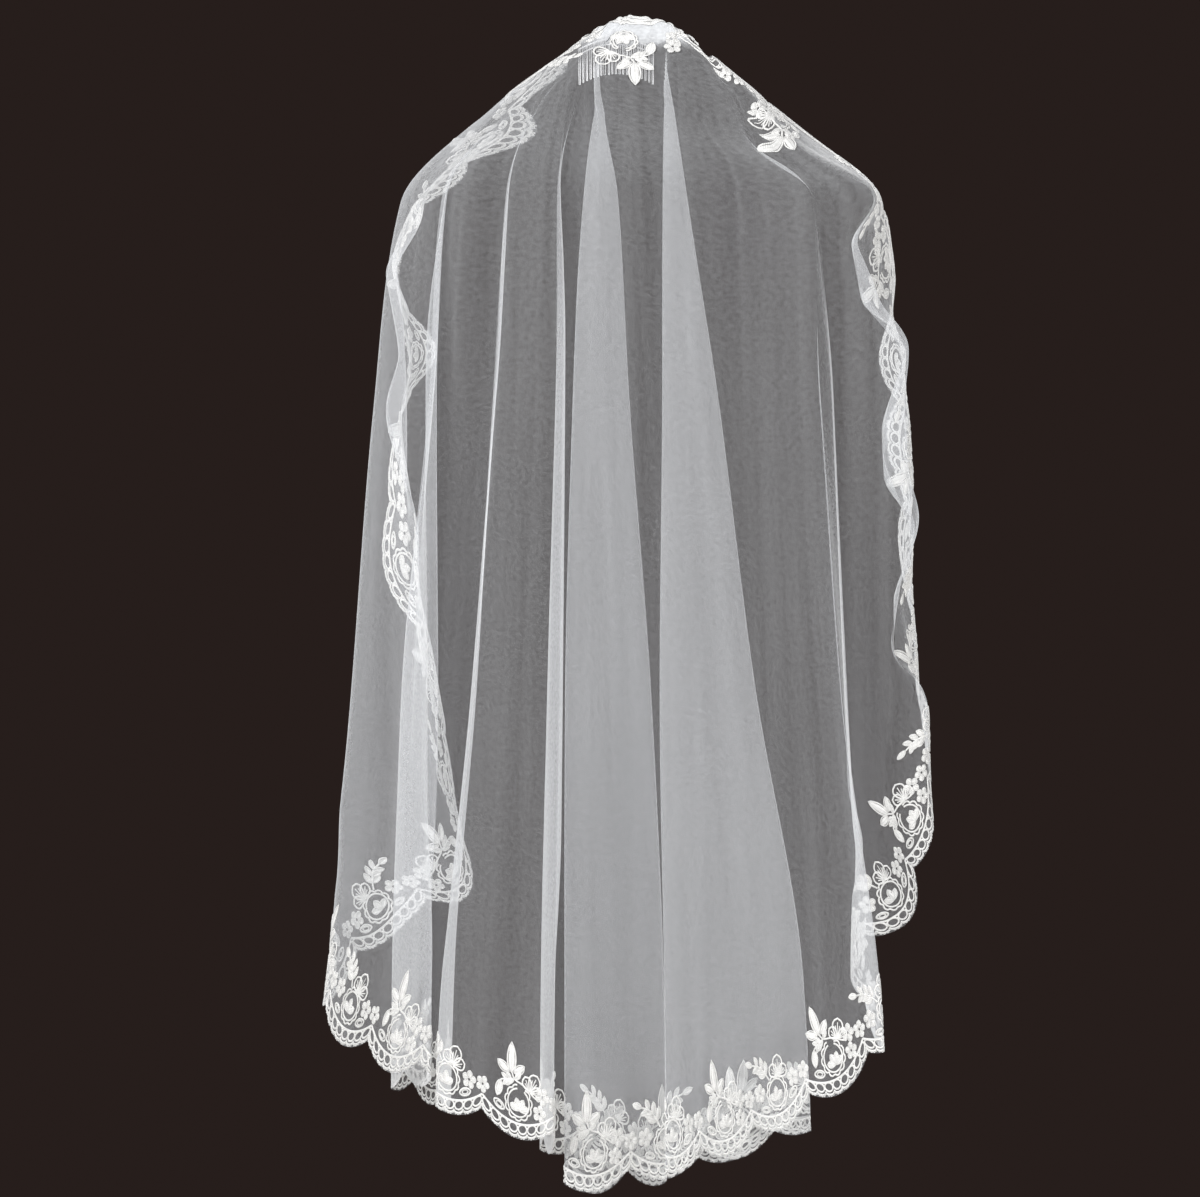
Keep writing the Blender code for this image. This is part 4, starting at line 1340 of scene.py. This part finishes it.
def comb_material():
    """Bright plated wire with faint drawing marks."""
    material, tree, shader = new_material("comb wire", Metallic=1.0)
    marks = noise(tree, object_place(tree), Scale=700.0, Detail=2.0)
    colour = colour_between(tree, marks, WIRE_DARK, WIRE_BRIGHT)
    rough = maths(tree, "ADD", maths(tree, "MULTIPLY", marks, 0.15), 0.38)
    fill(tree, shader, Base_Color=colour, Roughness=rough)
    return material


# ---- light and camera ----


def add_area_light(name, place, aim, size, power):
    """A soft rectangular light at a place, turned to what it lights."""
    light = bpy.data.lights.new(name, "AREA")
    light.shape = "RECTANGLE"
    light.size, light.size_y = size
    light.energy = power
    lamp = add_object(name, light)
    lamp.location = place
    lamp.rotation_euler = (Vector(aim) - Vector(place)).to_track_quat("-Z", "Y").to_euler()


def set_world():
    """A dark room to look at, with soft light that falls in from all round."""
    world = bpy.data.worlds.new("studio")
    bpy.context.scene.world = world
    world.use_nodes = True
    tree = world.node_tree
    tree.nodes.clear()
    soft = node(tree, "Background", Strength=0.34, Color=(1, 1, 1, 1))
    dark = node(tree, "Background", Strength=1.0, Color=(*DARK_ROOM, 1))
    mix = node(tree, "MixShader", Fac=node(tree, "LightPath").outputs["Is Camera Ray"])
    tree.links.new(soft.outputs[0], mix.inputs[1])
    tree.links.new(dark.outputs[0], mix.inputs[2])
    node(tree, "OutputWorld", Surface=mix.outputs[0])


def make_floor():
    """A plain pale floor, below the camera's view."""
    bpy.ops.object.select_all(action="DESELECT")
    bpy.ops.mesh.primitive_plane_add(size=FLOOR_SIZE, location=(0, 0, FLOOR_Z))
    floor = bpy.context.object
    floor.name = "floor"
    material, _, _ = new_material("floor", Roughness=0.85, Base_Color=(*FLOOR_PALE, 1))
    floor.data.materials.append(material)


def set_camera():
    """The camera, level and straight on from the wearer's back."""
    data = bpy.data.cameras.new("camera")
    data.lens = SENSOR * VIEW_DISTANCE / VIEW_WIDTH
    data.sensor_width = SENSOR
    camera = add_object("camera", data)
    camera.location = (VIEW_X, -VIEW_DISTANCE, VIEW_Z)
    camera.rotation_euler = (math.radians(90), 0, 0)
    bpy.context.scene.camera = camera


def main():
    """The stage, the materials, and each piece with what it stands for."""
    scene = bpy.context.scene
    scene.view_settings.view_transform = "Standard"
    scene.cycles.transparent_max_bounces = 32
    set_camera()
    set_world()
    make_floor()
    for light in LIGHTS:
        add_area_light(*light)

    bpy.ops.object.select_all(action="DESELECT")
    weave = net_weave_group()
    twist = thread_twist_group()
    tulle = tulle_material("tulle", weave)
    edging_net = tulle_material("lace net", weave)
    thread = thread_material("lace thread", twist, 0.0016, 0.9, 0.55)
    sewing = thread_material("sewing thread", twist, 0.0005, 0.5, 0.6)
    wire = comb_material()

    drape = Drape()
    outline = Outline()
    oval, flat, area = make_tulle(drape, outline, tulle)
    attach(oval, "root")
    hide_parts("tulle")
    for name, first, last, stands_for in EDGING_LENGTHS:
        net, flat, area = make_edging_net(drape, outline, name, first, last, edging_net)
        marks = list(range(first, last, MOST_SCALLOPS)) + [last]
        laces = []
        for start, end in zip(marks, marks[1:]):
            label = name if len(marks) == 2 else f"{name}_{start}"
            laces.append(make_lace(drape, outline, label, start, end, thread))
        if first <= CROWN_SPRIG < last:
            laces.append(make_crown_sprig(drape, outline, thread))
            laces.append(make_crown_gathering(drape, outline, thread))
        for piece in (net, *laces):
            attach(piece, "root")
        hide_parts(stands_for)
    comb, stitches = make_comb(drape, wire, sewing)
    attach(comb, "root")
    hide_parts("comb")
    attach(stitches, "root")


main()
